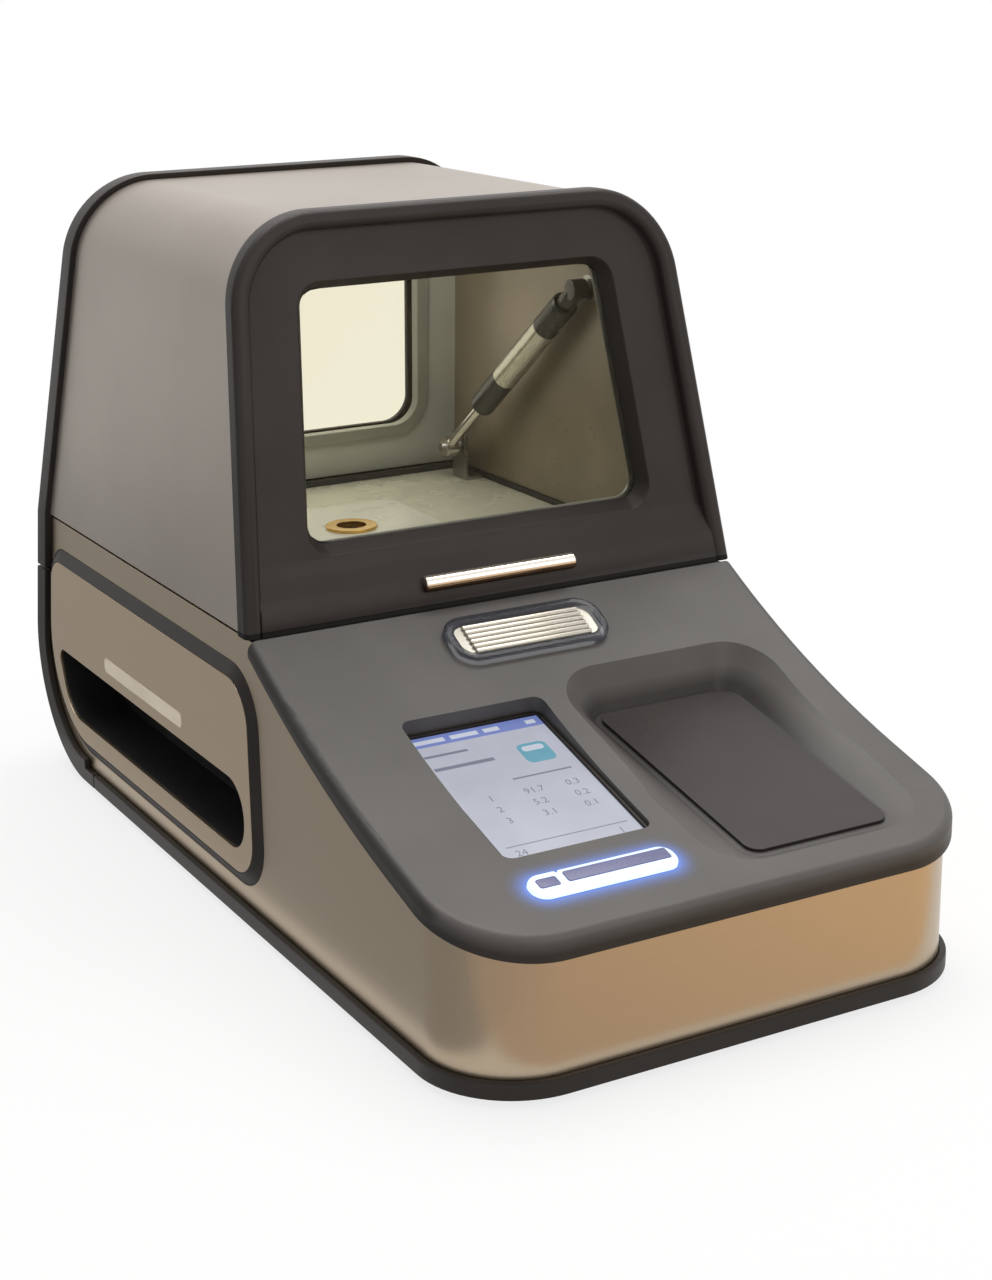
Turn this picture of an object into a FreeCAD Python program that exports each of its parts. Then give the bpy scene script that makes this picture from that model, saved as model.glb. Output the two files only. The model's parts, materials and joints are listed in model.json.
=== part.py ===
"""Benchtop x-ray fluorescence analyzer with a hinged sample hood.

Millimetres. Lengths along the case are counted from its front face, and every finished piece is
then moved back by half the depth, so the origin is under the middle of the case, on the table.
+X is the right flank seen from the front, -Y is the front, +Z is up.
"""
import FreeCAD, Part
import math
import os
import Sketcher

Vector = FreeCAD.Vector

DRIVING_SIZES = {
    # whole case
    "width": 266,
    "depth": 513,
    "height": 334,
    "foot_lift": 3,
    "foot_radius": 10,
    "foot_inset": 32,
    "front_round": 46,
    # bottom tray and brushed wrap
    "rim_height": 8,
    "rim_proud": 3.5,
    "rim_gap": 0.2,
    "tray_floor": 2.5,
    "tray_gap": 81,
    "wrap_sheet": 1.5,
    "parting": 147,
    "seam": 1.5,
    # console deck
    "deck_front_top": 73.8,
    "deck_slope": 15,
    "slope_run": 70,
    "deck_end": 204.5,
    "deck_end_top": 148.4,
    "deck_wall": 3,
    "lip_height": 11,
    "lip_end": 7,
    "lip_round": 4.5,
    # tray recess in the deck, and its mat
    "recess_left": 14,
    "recess_inset": 38,
    "recess_front": 19,
    "recess_back": 150,
    "recess_round": 10,
    "recess_depth": 2,
    "recess_tilt": 11,
    "flare_left": 19,
    "flare_right": 20,
    "flare_front": 5,
    "flare_back": 8,
    "flare_round": 25,
    "mat_margin": 3,
    "mat_sheet": 1.6,
    "mat_round": 13,
    # display
    "screen_middle": -50.4,
    "screen_width": 69,
    "screen_length": 96.4,
    "screen_centre": 102.6,
    "screen_margin": 2,
    "screen_round": 5,
    "screen_drop": 2,
    "frame_land": 3.5,
    "frame_play": 0.15,
    "frame_sheet": 1.5,
    "glass_sheet": 1.2,
    "panel_sheet": 6,
    # keys
    "key_middle": -52.8,
    "key_centre": 30,
    "key_ring_width": 70.6,
    "key_ring_length": 14.5,
    "key_ring_band": 2.1,
    "key_ring_proud": 0.8,
    "key_split": -72.5,
    "key_gap": 0.35,
    "key_sheet": 2.4,
    "key_proud": 0.5,
    "board_sheet": 1.6,
    "board_drop": 6.5,
    # warning beacon
    "beacon_centre": 183,
    "beacon_width": 84,
    "beacon_length": 30,
    "beacon_band": 5,
    "beacon_round": 12,
    "beacon_proud": 4.2,
    "beacon_lift": 0.3,
    "lens_depth": 6,
    "rib_radius": 1.7,
    "rib_pitch": 3.1,
    "rib_count": 6,
    # handle panels
    "handle_front": 211.5,
    "handle_gap": 12.6,
    "handle_low": 27,
    "handle_top": 124.5,
    "handle_lean": 11.7,
    "handle_front_round": 21,
    "handle_top_round": 17,
    "handle_low_round": 50,
    "handle_sheet": 2,
    "surround_band": 7,
    "handle_proud": 3,
    "slot_front": 220,
    "slot_gap": 33,
    "slot_low": 38,
    "slot_top": 73.5,
    "slot_lean": 21,
    "cup_depth": 31,
    "cup_wall": 2,
    "lamp_front": 293.5,
    "lamp_length": 108,
    "lamp_low": 80,
    "lamp_height": 8,
    # rear of the case
    "rear_round": 65,
    "rear_lean": 12.6,
    "rear_band": 13,
    "rear_wall": 3,
    "split": 116,
    "split_gap": 1.2,
    "bay_inset": 35,
    "bay_low": 30,
    "bay_top": 94,
    "bay_deep": 25,
    "bay_wall": 2,
    "ledge_sheet": 2,
    # hood
    "hood_front": 205,
    "front_lean": 11.4,
    "side_taper": 5.4,
    "hood_round": 45,
    "bezel_wrap": 10,
    "bezel_rim": 9,
    "bezel_recess": 7,
    "bezel_edge": 3.6,
    "apron_low": 160,
    "apron_top": 178,
    "collar_band": 4,
    "collar_depth": 8,
    "window_low": 183,
    "window_drop": 37,
    "window_inset": 42.5,
    "window_round": 8,
    "window_lap": 8,
    "window_funnel": 4.5,
    "lead_glass": 6,
    "shell_inset": 3,
    "shell_sheet": 2,
    "liner_inset": 8,
    "liner_sheet": 1.5,
    "rear_frame_sheet": 4,
    "rear_window_low": 176,
    "rear_window_drop": 36,
    "rear_window_inset": 38,
    "rear_window_round": 14,
    "gasket_band": 7,
    "gasket_sheet": 2,
    "pull_bar_half_length": 41,
    "pull_bar_radius": 4,
    "pull_bar_height": 161,
    # chamber floor
    "floor_sheet": 2,
    "floor_front": 206,
    "seal_band": 5,
    "seal_play": 0.3,
    "stage_sheet": 2.5,
    "stage_width": 96,
    "aperture_gap": 143,
    "aperture_radius": 8,
    "ring_radius": 14,
    "ring_height": 1.6,
    # hinge
    "hinge_offset": 70,
    "hinge_width": 50,
    "hinge_leaf": 1.6,
    "barrel_radius": 4,
    "hinge_pin_radius": 2,
    "hinge_play": 0.05,
    "hinge_reach": 18,
    # gas strut
    "strut_inset": 30,
    "strut_hood_gap": 208,
    "strut_hood_drop": 59,
    "strut_base_gap": 63,
    "strut_base_rise": 18,
    "strut_radius": 5.5,
    "strut_body_start": 52,
    "strut_rod_radius": 3,
    "strut_rod_end": 60,
    "strut_play": 0.05,
    "eye_radius": 6,
    "eye_width": 8,
    "stud_radius": 2.5,
    "bracket_sheet": 2,
    # inside the base
    "chassis_sheet": 2,
    "chassis_inset": 12,
    "head_radius": 26,
    "head_height": 40,
    "tube_radius": 11,
    "motor_radius": 8,
    "wheel_radius": 27,
    "wheel_sheet": 1.5,
    "wheel_holes": 6,
    "wheel_hole_radius": 4,
    "wheel_shaft_radius": 1.5,
    "fan_radius": 19,
    "fan_hub_radius": 8,
    "fan_blades": 7,
    "fan_inset": 67,
    "fan_height": 62,
    "inlet_inset": 73,
    "inlet_height": 62,
    "port_middle": 5,
    "plunger_radius": 2,
    "switch_inset": 18,
    "switch_gap": 31,
    "supply_inset": 38,
    "board_inset": 48,
}


class Size:
    """A size: its value now, and the sheet formula that gives it."""

    def __init__(self, value, text):
        self.value = float(value)
        self.text = text

    def __float__(self):
        return self.value

    def __neg__(self):
        return Size(-self.value, "-(%s)" % self.text)

    def __add__(self, other):
        other = as_size(other)
        return Size(self.value + other.value, "(%s + %s)" % (self.text, other.text))

    def __radd__(self, other):
        return as_size(other) + self

    def __sub__(self, other):
        return self + -as_size(other)

    def __rsub__(self, other):
        return as_size(other) + -self

    def __mul__(self, other):
        other = as_size(other)
        return Size(self.value * other.value,
                    "%s * %s" % (self.text_in_brackets(), other.text_in_brackets()))

    def __rmul__(self, other):
        return as_size(other) * self

    def __truediv__(self, other):
        other = as_size(other)
        return Size(self.value / other.value,
                    "%s / %s" % (self.text_in_brackets(), other.text_in_brackets()))

    def __rtruediv__(self, other):
        return as_size(other) / self

    def text_in_brackets(self):
        return "(%s)" % self.text


def as_size(number):
    """A plain number as a size."""
    if isinstance(number, Size):
        return number
    return Size(number, "(%r)" % float(number))


def tan(angle):
    return Size(math.tan(math.radians(float(angle))), "tan(%s)" % angle.text)


def cos(angle):
    return Size(math.cos(math.radians(float(angle))), "cos(%s)" % angle.text)


doc = FreeCAD.newDocument("analyzer")
sheet = doc.addObject("Spreadsheet::Sheet", "dims")
for row, (alias, number) in enumerate(DRIVING_SIZES.items(), start=1):
    sheet.set("A%d" % row, alias)
    sheet.set("B%d" % row, str(number))
    sheet.setAlias("B%d" % row, alias)
doc.recompute()


class Dims:
    """The sheet's cells by name, each as a size that carries its formula."""

    def __getattr__(self, alias):
        return Size(sheet.get(alias), "dims.%s" % alias)


d = Dims()
finished = []
starts = {}


def bind(thing, path, size):
    """Tie one property of an object to a sheet formula."""
    thing.setExpression(path, as_size(size).text)


def plane_of(body, role):
    """One of a body's own base planes."""
    return [item for item in body.Origin.OriginFeatures if item.Role == role + "_Plane"][0]


def outline(body, plane, corners, offset):
    """A closed sharp-cornered sketch, each corner held at its two sizes."""
    sketch = body.newObject("Sketcher::SketchObject", "Outline")
    sketch.AttachmentSupport = (plane_of(body, plane), [""])
    sketch.MapMode = "FlatFace"
    bind(sketch, "AttachmentOffset.Base.z", offset)
    spots = [Vector(float(u), float(v), 0) for u, v in corners]
    count = len(spots)
    for index in range(count):
        sketch.addGeometry(Part.LineSegment(spots[index], spots[(index + 1) % count]), False)
    for index in range(count):
        sketch.addConstraint(Sketcher.Constraint("Coincident", index, 2, (index + 1) % count, 1))
    for index, corner in enumerate(corners):
        for kind, size in zip(("DistanceX", "DistanceY"), corner):
            number = sketch.addConstraint(Sketcher.Constraint(kind, -1, 1, index, 1, float(size)))
            sketch.setExpression("Constraints[%d]" % number, as_size(size).text)
    return sketch


def spot_of(plane, point):
    """A point's two coordinates in one base plane."""
    if plane == "XY":
        return point.x, point.y
    if plane == "XZ":
        return point.x, point.z
    return point.y, point.z


def round_corners(body, plane, corners, radii):
    """Round the edges that stand on the named corners, one fillet for each radius."""
    by_radius = {}
    for corner, radius in zip(corners, radii):
        if radius is not None:
            by_radius.setdefault(as_size(radius).text, (radius, []))[1].append(corner)
    for radius, chosen in by_radius.values():
        doc.recompute()
        names = []
        for number, edge in enumerate(body.Shape.Edges, start=1):
            ends = [spot_of(plane, vertex.Point) for vertex in edge.Vertexes]
            for u, v in chosen:
                if len(ends) == 2 and all(math.hypot(a - float(u), b - float(v)) < 1e-4 for a,
                                          b in ends):
                    names.append("Edge%d" % number)
        base = body.Tip
        fillet = body.newObject("PartDesign::Fillet", "Rounded")
        fillet.Base = (base, names)
        bind(fillet, "Radius", radius)
        body.Tip = fillet


def slab(name, plane, corners, start, end, radii=(), hollows=()):
    """A body: one outline on a base plane, padded from start to end along that plane's axis.

    Each hollow is (corners, radii, start, end). It is cut and rounded before the outer corners are,
    so that a wall keeps its thickness round them.
    """
    body = doc.addObject("PartDesign::Body", name)
    start, end = as_size(start), as_size(end)
    sketch = outline(body, plane, corners, -end if plane == "XZ" else start)
    pad = body.newObject("PartDesign::Pad", "Padded")
    pad.Profile = sketch
    bind(pad, "Length", end - start)
    for hollow_corners, hollow_radii, hollow_start, hollow_end in hollows:
        carve(body, plane, hollow_corners, hollow_start, hollow_end, hollow_radii)
    round_corners(body, plane, corners, radii)
    return body


def add(body, plane, corners, start, end):
    """Pad one more outline onto a body."""
    start, end = as_size(start), as_size(end)
    sketch = outline(body, plane, corners, -end if plane == "XZ" else start)
    pad = body.newObject("PartDesign::Pad", "Added")
    pad.Profile = sketch
    bind(pad, "Length", end - start)
    body.Tip = pad


def carve(body, plane, corners, start, end, radii=()):
    """Cut one outline out of a body, and check that it took something away."""
    start, end = as_size(start), as_size(end)
    doc.recompute()
    before = body.Shape.Volume
    sketch = outline(body, plane, corners, -start if plane == "XZ" else end)
    pocket = body.newObject("PartDesign::Pocket", "Carved")
    pocket.Profile = sketch
    bind(pocket, "Length", end - start)
    body.Tip = pocket
    doc.recompute()
    if body.Shape.Volume > before - 0.01:
        raise RuntimeError("a cut in %s takes nothing away" % body.Name)
    round_corners(body, plane, corners, radii)


def rectangle(u_low, u_high, v_low, v_high):
    return [(u_low, v_low), (u_high, v_low), (u_high, v_high), (u_low, v_high)]


def centred(middle_u, middle_v, width, height):
    """A rectangle by its middle and its two sizes."""
    return rectangle(middle_u - width / 2, middle_u + width / 2, middle_v - height / 2,
                     middle_v + height / 2)


def block(name, x_low, x_high, y_low, y_high, z_low, z_high):
    """A box between two corners."""
    box = doc.addObject("Part::Box", name)
    for path, low, high in (("Length", x_low, x_high), ("Width", y_low, y_high),
                            ("Height", z_low, z_high)):
        bind(box, path, as_size(high) - as_size(low))
    for path, low in (("x", x_low), ("y", y_low), ("z", z_low)):
        bind(box, "Placement.Base." + path, low)
    starts[name] = (y_low, z_low)
    return box


AXES = {"X": Vector(0, 1, 0), "Y": Vector(-1, 0, 0), "Z": Vector(0, 0, 1)}
QUARTER = {"X": 90, "Y": 90, "Z": 0}


def rod(name, axis, radius, x, y, z, length):
    """A cylinder that starts at a point and runs along +axis."""
    cylinder = doc.addObject("Part::Cylinder", name)
    cylinder.Placement = FreeCAD.Placement(Vector(0, 0, 0), FreeCAD.Rotation(AXES[axis], QUARTER[axis]))
    bind(cylinder, "Radius", radius)
    bind(cylinder, "Height", length)
    for path, size in (("x", x), ("y", y), ("z", z)):
        bind(cylinder, "Placement.Base." + path, size)
    starts[name] = (y, z)
    return cylinder


def joined(name, *pieces):
    fuse = doc.addObject("Part::MultiFuse", name)
    fuse.Shapes = list(pieces)
    fuse.Refine = True
    return fuse


def less(name, base, *tools):
    """A base with one or more tools cut out of it."""
    cut = doc.addObject("Part::Cut", name)
    cut.Base = base
    cut.Tool = tools[0] if len(tools) == 1 else joined(name + "_tools", *tools)
    cut.Refine = True
    return cut


def made(name, shape):
    """A piece whose shape is worked out below from the sheet's values."""
    feature = doc.addObject("Part::Feature", name)
    feature.Shape = shape if shape.Placement.isIdentity() else Part.Compound([shape])
    return feature


def finish(thing, label, angle=None, y=0, z=0):
    """Name a sub-part and put it in the case: turned about X where it lies on a slope."""
    thing.Label = label
    if angle is not None:
        thing.Placement = FreeCAD.Placement(Vector(0, 0, 0), FreeCAD.Rotation(Vector(1, 0, 0), 1))
        bind(thing, "Placement.Rotation.Angle", angle)
    start_y, start_z = starts.get(thing.Name, (0, 0))
    bind(thing, "Placement.Base.y", as_size(y) + start_y - d.depth / 2)
    bind(thing, "Placement.Base.z", as_size(z) + start_z)
    finished.append(thing)


# The outlines that several pieces share

def rear_line(z):
    """How far back the leaning rear face stands at height z."""
    return (d.depth - d.rear_round + d.rear_round * (1 / cos(d.rear_lean) + tan(d.rear_lean))
            - (z - d.foot_lift) * tan(d.rear_lean))


def front_line(z):
    """How far back the hood's leaning front face stands at height z."""
    return d.hood_front + (z - d.parting) * tan(d.front_lean)


def hood_half_width(z):
    """Half the hood's width at height z: its flanks lean in."""
    return d.width / 2 - (z - hood_low) * tan(d.side_taper)


def one(size):
    return float(size)


hood_low = d.parting + d.seam
wrap_half_width = d.width / 2 - d.rim_proud
tray_top = d.foot_lift + d.tray_floor
tray_end = d.depth - d.tray_gap
recess_right = d.width / 2 - d.recess_inset
handle_back = d.depth - d.handle_gap
slot_back = d.depth - d.slot_gap
bay_face = d.depth - d.bay_deep
bay_half_width = d.width / 2 - d.bay_inset
fan_middle = d.width / 2 - d.fan_inset
inlet_middle = d.inlet_inset - d.width / 2
aperture_along = d.depth - d.aperture_gap


def rounded_wire(corners, place):
    """A closed wire through corners (u, v, radius), each rounded by a tangent arc."""
    count = len(corners)
    edges = []
    joints = []
    for index, (u, v, radius) in enumerate(corners):
        here = Vector(one(u), one(v), 0)
        before = Vector(one(corners[index - 1][0]), one(corners[index - 1][1]), 0) - here
        after = Vector(one(corners[(index + 1) % count][0]), one(corners[(index + 1) % count][1]),
                       0) - here
        if one(radius) == 0:
            joints.append((here, here, None))
            continue
        half = before.getAngle(after) / 2
        reach = one(radius) / math.tan(half)
        before.normalize()
        after.normalize()
        inward = before + after
        inward.normalize()
        middle = here + inward * (one(radius) / math.sin(half) - one(radius))
        joints.append((here + before * reach, here + after * reach, middle))
    for index, (start, end, middle) in enumerate(joints):
        if middle is not None:
            edges.append(Part.Arc(place(start), place(middle), place(end)).toShape())
        following = joints[(index + 1) % count][0]
        if (following - end).Length > 1e-6:
            edges.append(Part.LineSegment(place(end), place(following)).toShape())
    return Part.Wire(edges)


def along_y(point):
    """From the front view (x, z) to space."""
    return Vector(point.x, 0, point.y)


def flank_wire(corners, x):
    """An outline seen from the flank, at a distance x off the middle plane."""
    return rounded_wire(corners, lambda point: Vector(x, point.x, point.y))


def flank_prism(corners, x_low, x_high):
    """A solid by its outline seen from the flank, from x_low to x_high."""
    face = Part.Face(flank_wire(corners, one(x_low)))
    return face.extrude(Vector(one(x_high) - one(x_low), 0, 0))


def front_prism(corners):
    """A solid by its outline seen from the front, through the whole depth."""
    face = Part.Face(rounded_wire(corners, along_y))
    face.translate(Vector(0, -one(d.depth), 0))
    return face.extrude(Vector(0, 3 * one(d.depth), 0))


def deck_curve(drop):
    """The deck's crown line and its arc end, lowered by drop: start, knee, middle of the arc, end."""
    knee_rise = one(d.slope_run) * math.tan(math.radians(one(d.deck_slope)))
    start = Vector(0, 0, one(d.deck_front_top) - drop)
    knee = Vector(0, one(d.slope_run), start.z + knee_rise)
    end = Vector(0, one(d.deck_end), one(d.deck_end_top) - drop)
    chord = end - knee
    slope = Vector(0, math.cos(math.radians(one(d.deck_slope))),
                   math.sin(math.radians(one(d.deck_slope))))
    turn = slope.getAngle(chord)
    radius = chord.Length / 2 / math.sin(turn)
    normal = Vector(0, -chord.z, chord.y)
    normal.normalize()
    middle = (knee + end) * 0.5 - normal * (radius * (1 - math.cos(turn)))
    return start, knee, middle, end


def deck_height(y):
    """The deck's height and slope angle at a distance y from the front, on its curved part."""
    start, knee, middle, end = deck_curve(0)
    circle = Part.Arc(knee, middle, end).toShape().Curve
    centre = circle.Center
    run = y - centre.y
    height = centre.z - math.sqrt(circle.Radius ** 2 - run ** 2)
    return height, math.degrees(math.atan2(run, centre.z - height))


def under_deck(x_low, x_high, drop, floor):
    """The space under the deck's top face, lowered by drop, down to floor or as deep as the lip.

    The lip is tallest at the front and tapers along the flanks.
    """
    start, knee, middle, end = deck_curve(drop)
    edges = [Part.LineSegment(start, knee).toShape(), Part.Arc(knee, middle, end).toShape()]
    if floor is None:
        under = []
        for point in (end, middle, knee, start):
            share = point.y / one(d.deck_end)
            depth = one(d.lip_height) + share * (one(d.lip_end) - one(d.lip_height))
            under.append(point - Vector(0, 0, depth))
        edges.append(Part.LineSegment(end, under[0]).toShape())
        edges.append(Part.Arc(under[0], under[1], under[2]).toShape())
        edges.append(Part.LineSegment(under[2], under[3]).toShape())
        edges.append(Part.LineSegment(under[3], start).toShape())
    else:
        corners = [end, Vector(0, end.y, floor), Vector(0, start.y, floor), start]
        edges += [Part.LineSegment(a, b).toShape() for a, b in zip(corners, corners[1:])]
    face = Part.Face(Part.Wire(edges))
    face.translate(Vector(x_low, 0, 0))
    return face.extrude(Vector(x_high - x_low, 0, 0))


def rounded_front(shape, inset, radius):
    """Round a shape's two upright front corners, as seen from above, at an inset from the case."""
    low = Vector(one(d.width) / 2 - inset, inset, -one(d.height))
    corners = [(-low.x, low.y, radius), (low.x, low.y, radius), (low.x, one(d.depth), 0),
               (-low.x, one(d.depth), 0)]
    face = Part.Face(rounded_wire(corners, lambda point: Vector(point.x, point.y, low.z)))
    return shape.common(face.extrude(Vector(0, 0, 3 * one(d.height))))


def on_slope(width, length, radius, middle, centre, low, high):
    """A rounded block square to the straight slope, by its middle across and its centre along it."""
    corners = [(middle - width / 2, centre - length / 2, radius),
               (middle + width / 2, centre - length / 2, radius),
               (middle + width / 2, centre + length / 2, radius),
               (middle - width / 2, centre + length / 2, radius)]
    shape = Part.Face(rounded_wire(corners, lambda point: Vector(point.x, point.y,
                                                                 low))).extrude(Vector(0, 0, high - low))
    shape.rotate(Vector(0, 0, 0), Vector(1, 0, 0), one(d.deck_slope))
    shape.translate(Vector(0, 0, one(d.deck_front_top)))
    return shape


# Bottom tray and feet

tray_inside = d.width / 2 - d.rim_proud + d.rim_gap
tray_wall = d.rim_proud - d.rim_gap
inner_round = d.front_round - tray_wall
tray_hollow = (rectangle(-tray_inside, tray_inside, tray_wall, tray_end + 1),
               (inner_round, inner_round, None, None), tray_top, d.foot_lift + d.rim_height)
base_tray = slab("tray_pan", "XY", rectangle(-d.width / 2, d.width / 2, as_size(0), tray_end),
                 d.foot_lift, d.foot_lift + d.rim_height, (d.front_round, d.front_round, None, None),
                 [tray_hollow])
finish(base_tray, "base_tray")

foot_spots = [(side * (d.width / 2 - d.foot_inset), along) for side in (-1, 1)
              for along in (d.foot_inset + 12, tray_end - d.foot_inset)]
feet = []
for index, (x, y) in enumerate(foot_spots):
    feet.append(rod("foot_%d" % index, "Z", d.foot_radius, x, y, as_size(0), d.foot_lift))
finish(joined("feet_group", *feet), "feet")

# Brushed wrap: one sheet round the front and both flanks

handle_slope = tan(d.handle_lean)


def handle_corners(grow):
    """The handle panel's outline in the flank view, grown by a margin all round."""
    low, top = d.handle_low - grow, d.handle_top + grow
    back = handle_back + grow / cos(d.handle_lean)
    return [(d.handle_front - grow, low, d.handle_front_round + grow),
            (back - (low - d.handle_low) * handle_slope, low, d.handle_low_round + grow),
            (back - (top - d.handle_low) * handle_slope, top, d.handle_top_round + grow),
            (d.handle_front - grow, top, d.handle_front_round + grow)]


def slot_corners(grow):
    """The hand-hold slot's outline in the flank view, grown by a margin."""
    low, top = d.slot_low - grow, d.slot_top + grow
    height = d.slot_top - d.slot_low
    return [(d.slot_front - grow, low, height * 0.48 + grow),
            (slot_back + grow - height * tan(d.slot_lean), low, height * 0.7 + grow),
            (slot_back + grow, top, height * 0.2 + grow),
            (d.slot_front - grow, top, height * 0.48 + grow)]


def rear_outline(inset, low, top):
    """The case's lower rear in the flank view: floor, big round corner and leaning back, set in."""
    lean = math.radians(one(d.rear_lean))
    floor = one(d.foot_lift) + inset
    back = inset / math.cos(lean)
    radius = one(d.rear_round) - inset
    corner = one(rear_line(as_size(floor))) - back
    return [(corner, floor, radius), (one(rear_line(top)) - back, one(top), 0), (low, one(top), 0),
            (low, floor, 0)]


def wrap_solid(inset):
    """The closed body that the wrap goes round, set in from its outer face."""
    half = one(wrap_half_width) - inset
    start, knee, middle, end = deck_curve(one(d.deck_wall) + 0.5)
    edges = [Part.LineSegment(start, knee).toShape(), Part.Arc(knee, middle, end).toShape()]
    low = one(tray_top) + 0.3
    ledge = one(rear_line(d.split)) - one(d.rear_band) - 2
    top = one(d.parting)
    corners = [end, Vector(0, end.y, top), Vector(0, ledge - 7.5, top),
               Vector(0, ledge, one(d.split) - 4),
               Vector(0, one(d.depth), one(d.split) - 4), Vector(0, one(d.depth), low),
               Vector(0, 0, low), start]
    edges += [Part.LineSegment(a, b).toShape() for a, b in zip(corners, corners[1:])]
    face = Part.Face(Part.Wire(edges))
    face.translate(Vector(-half, 0, 0))
    solid = face.extrude(Vector(2 * half, 0, 0))
    rear = flank_prism(rear_outline(one(d.rear_wall) + 0.2, -10.0, d.split + 60), -half, half)
    return rounded_front(solid.common(rear), one(d.rim_proud) + inset,
                         one(d.front_round) - one(d.rim_proud) - inset)


inner_sheet = rounded_front(Part.makeBox(2 * one(wrap_half_width), 2 * one(d.depth), 2 * one(d.height),
                                         Vector(-one(wrap_half_width), 0, -one(d.height) / 2)),
                            one(d.rim_proud) + one(d.wrap_sheet),
                            one(d.front_round) - one(d.rim_proud) - one(d.wrap_sheet))
wrap = wrap_solid(0).cut(inner_sheet)
wrap = wrap.cut(flank_prism(handle_corners(d.surround_band), -d.width, d.width))
finish(made("side_wrap_shape", wrap), "side_wrap")

# Console deck: a moulded cover with a lip, wells for the display, keys and beacon, and a flared recess

beacon_height, beacon_angle = deck_height(one(d.beacon_centre))
screen_opening = (one(d.screen_width) + 2 * one(d.screen_margin),
                  one(d.screen_length) + 2 * one(d.screen_margin))


def tray_plane(y, drop):
    """Height of the recess floor, or of a face below it, at a distance y from the front."""
    front = one(d.recess_front)
    base = one(d.deck_front_top) + front * math.tan(math.radians(one(d.deck_slope))) - one(d.recess_depth)
    return base - drop + (y - front) * math.tan(math.radians(one(d.recess_tilt)))


def recess_loft(left, right, low, high, grow, ends):
    """One length of the recess: its floor outline lofted to the rim's, which lies just above the deck."""
    rim_low, rim_high = ends
    heights = [deck_height(y)[0] if y > one(d.slope_run) else one(d.deck_front_top)
               + y * math.tan(math.radians(one(d.deck_slope))) for y in ends]
    rim_slope = (heights[1] - heights[0]) / (rim_high - rim_low)

    def on_floor(point):
        return Vector(point.x, point.y, tray_plane(point.y, grow))

    def on_rim(point):
        return Vector(point.x, point.y, heights[0] + 0.6 + (point.y - rim_low) * rim_slope)

    def loop(left, right, low, high, radius, place):
        front = radius if low < one(d.slope_run) else 0
        back = radius if high > one(d.slope_run) else 0
        corners = [(left, low, front), (right, low, front), (right, high, back), (left, high, back)]
        return rounded_wire(corners, place)

    floor_wire = loop(left, right, low, high, one(d.recess_round) + grow, on_floor)
    rim_wire = loop(left - one(d.flare_left), right + one(d.flare_right), rim_low, rim_high,
                    one(d.flare_round) + grow, on_rim)
    hollow = Part.makeLoft([floor_wire, rim_wire], True, True)
    return hollow.fuse(Part.Face(rim_wire).extrude(Vector(0, 0, 30)))


def recess_solid(grow):
    """The flared hollow over the mat, or with grow its moulded walls: a straight and a curved length."""
    left, right = one(d.recess_left) - grow, one(recess_right) + grow
    front, back = one(d.recess_front) - grow, one(d.recess_back) + grow
    knee = one(d.slope_run)
    near = recess_loft(left, right, front, knee, grow, (front - one(d.flare_front), knee))
    far = recess_loft(left, right, knee, back, grow, (knee, back + one(d.flare_back)))
    return near.fuse(far)


def deck_shape():
    half = one(d.width) / 2
    lip = one(d.rim_proud) - one(d.rim_gap)
    wall = one(d.deck_wall)
    outer = under_deck(-half, half, 0, None)
    outer = rounded_front(outer, 0, one(d.front_round))
    crown = [edge for edge in outer.Edges if is_crown_edge(edge)]
    outer = outer.makeFillet(one(d.lip_round), crown)
    inner = under_deck(-half + lip, half - lip, wall, 0.0)
    inner = rounded_front(inner, lip, one(d.front_round) - lip)
    moulded = outer.cut(inner)
    below = under_deck(-half + lip, half - lip, 0.5, 0.0)
    walls = recess_solid(wall).common(below)
    width, length = screen_opening
    middle, centre = one(d.screen_middle), one(d.screen_centre)
    well = on_slope(width + 4, length + 4, one(d.screen_round) + 2, middle, centre,
                    -one(d.screen_drop) - one(d.frame_sheet), 30)
    moulded = moulded.fuse([walls, well.common(below)])
    openings = [recess_solid(0),
                on_slope(width, length, one(d.screen_round), middle, centre, -40, 40),
                on_slope(one(d.key_ring_width) + 0.4, one(d.key_ring_length) + 0.4,
                         one(d.key_ring_length) / 2.1,
                         one(d.key_middle), one(d.key_centre), -20, 20),
                beacon_block(one(d.beacon_width) - 2 * one(d.beacon_band),
                             one(d.beacon_length) - 2 * one(d.beacon_band),
                             one(d.beacon_round) - one(d.beacon_band), -20, 20)]
    return moulded.cut(openings)


def is_crown_edge(edge):
    """Whether an edge lies on the deck's top rim: the front, the two round corners or a flank."""
    half = one(d.width) / 2
    middle = edge.valueAt((edge.FirstParameter + edge.LastParameter) / 2)
    if abs(middle.y - one(d.deck_end)) < 0.01:
        return False
    top = one(d.deck_front_top) + middle.y * math.tan(math.radians(one(d.deck_slope)))
    if middle.y > one(d.slope_run):
        top = deck_height(middle.y)[0]
    on_side = abs(abs(middle.x) - half) < 0.01 or middle.y < one(d.front_round)
    return abs(middle.z - top) < 0.05 and on_side and not is_across(edge)


def is_across(edge):
    """Whether an edge runs across the deck at the knee of its slope."""
    ends = [vertex.Point for vertex in edge.Vertexes]
    return abs(ends[0].y - one(d.slope_run)) < 0.01 and abs(ends[1].y - one(d.slope_run)) < 0.01


def beacon_block(width, length, radius, low, high):
    """A rounded block square to the deck under the beacon."""
    corners = [(-width / 2, -length / 2, radius), (width / 2, -length / 2, radius),
               (width / 2, length / 2, radius), (-width / 2, length / 2, radius)]
    shape = Part.Face(rounded_wire(corners, lambda point: Vector(point.x, point.y,
                                                                 low))).extrude(Vector(0, 0, high - low))
    shape.rotate(Vector(0, 0, 0), Vector(1, 0, 0), beacon_angle)
    shape.translate(Vector(0, one(d.beacon_centre), beacon_height))
    return shape


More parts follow.
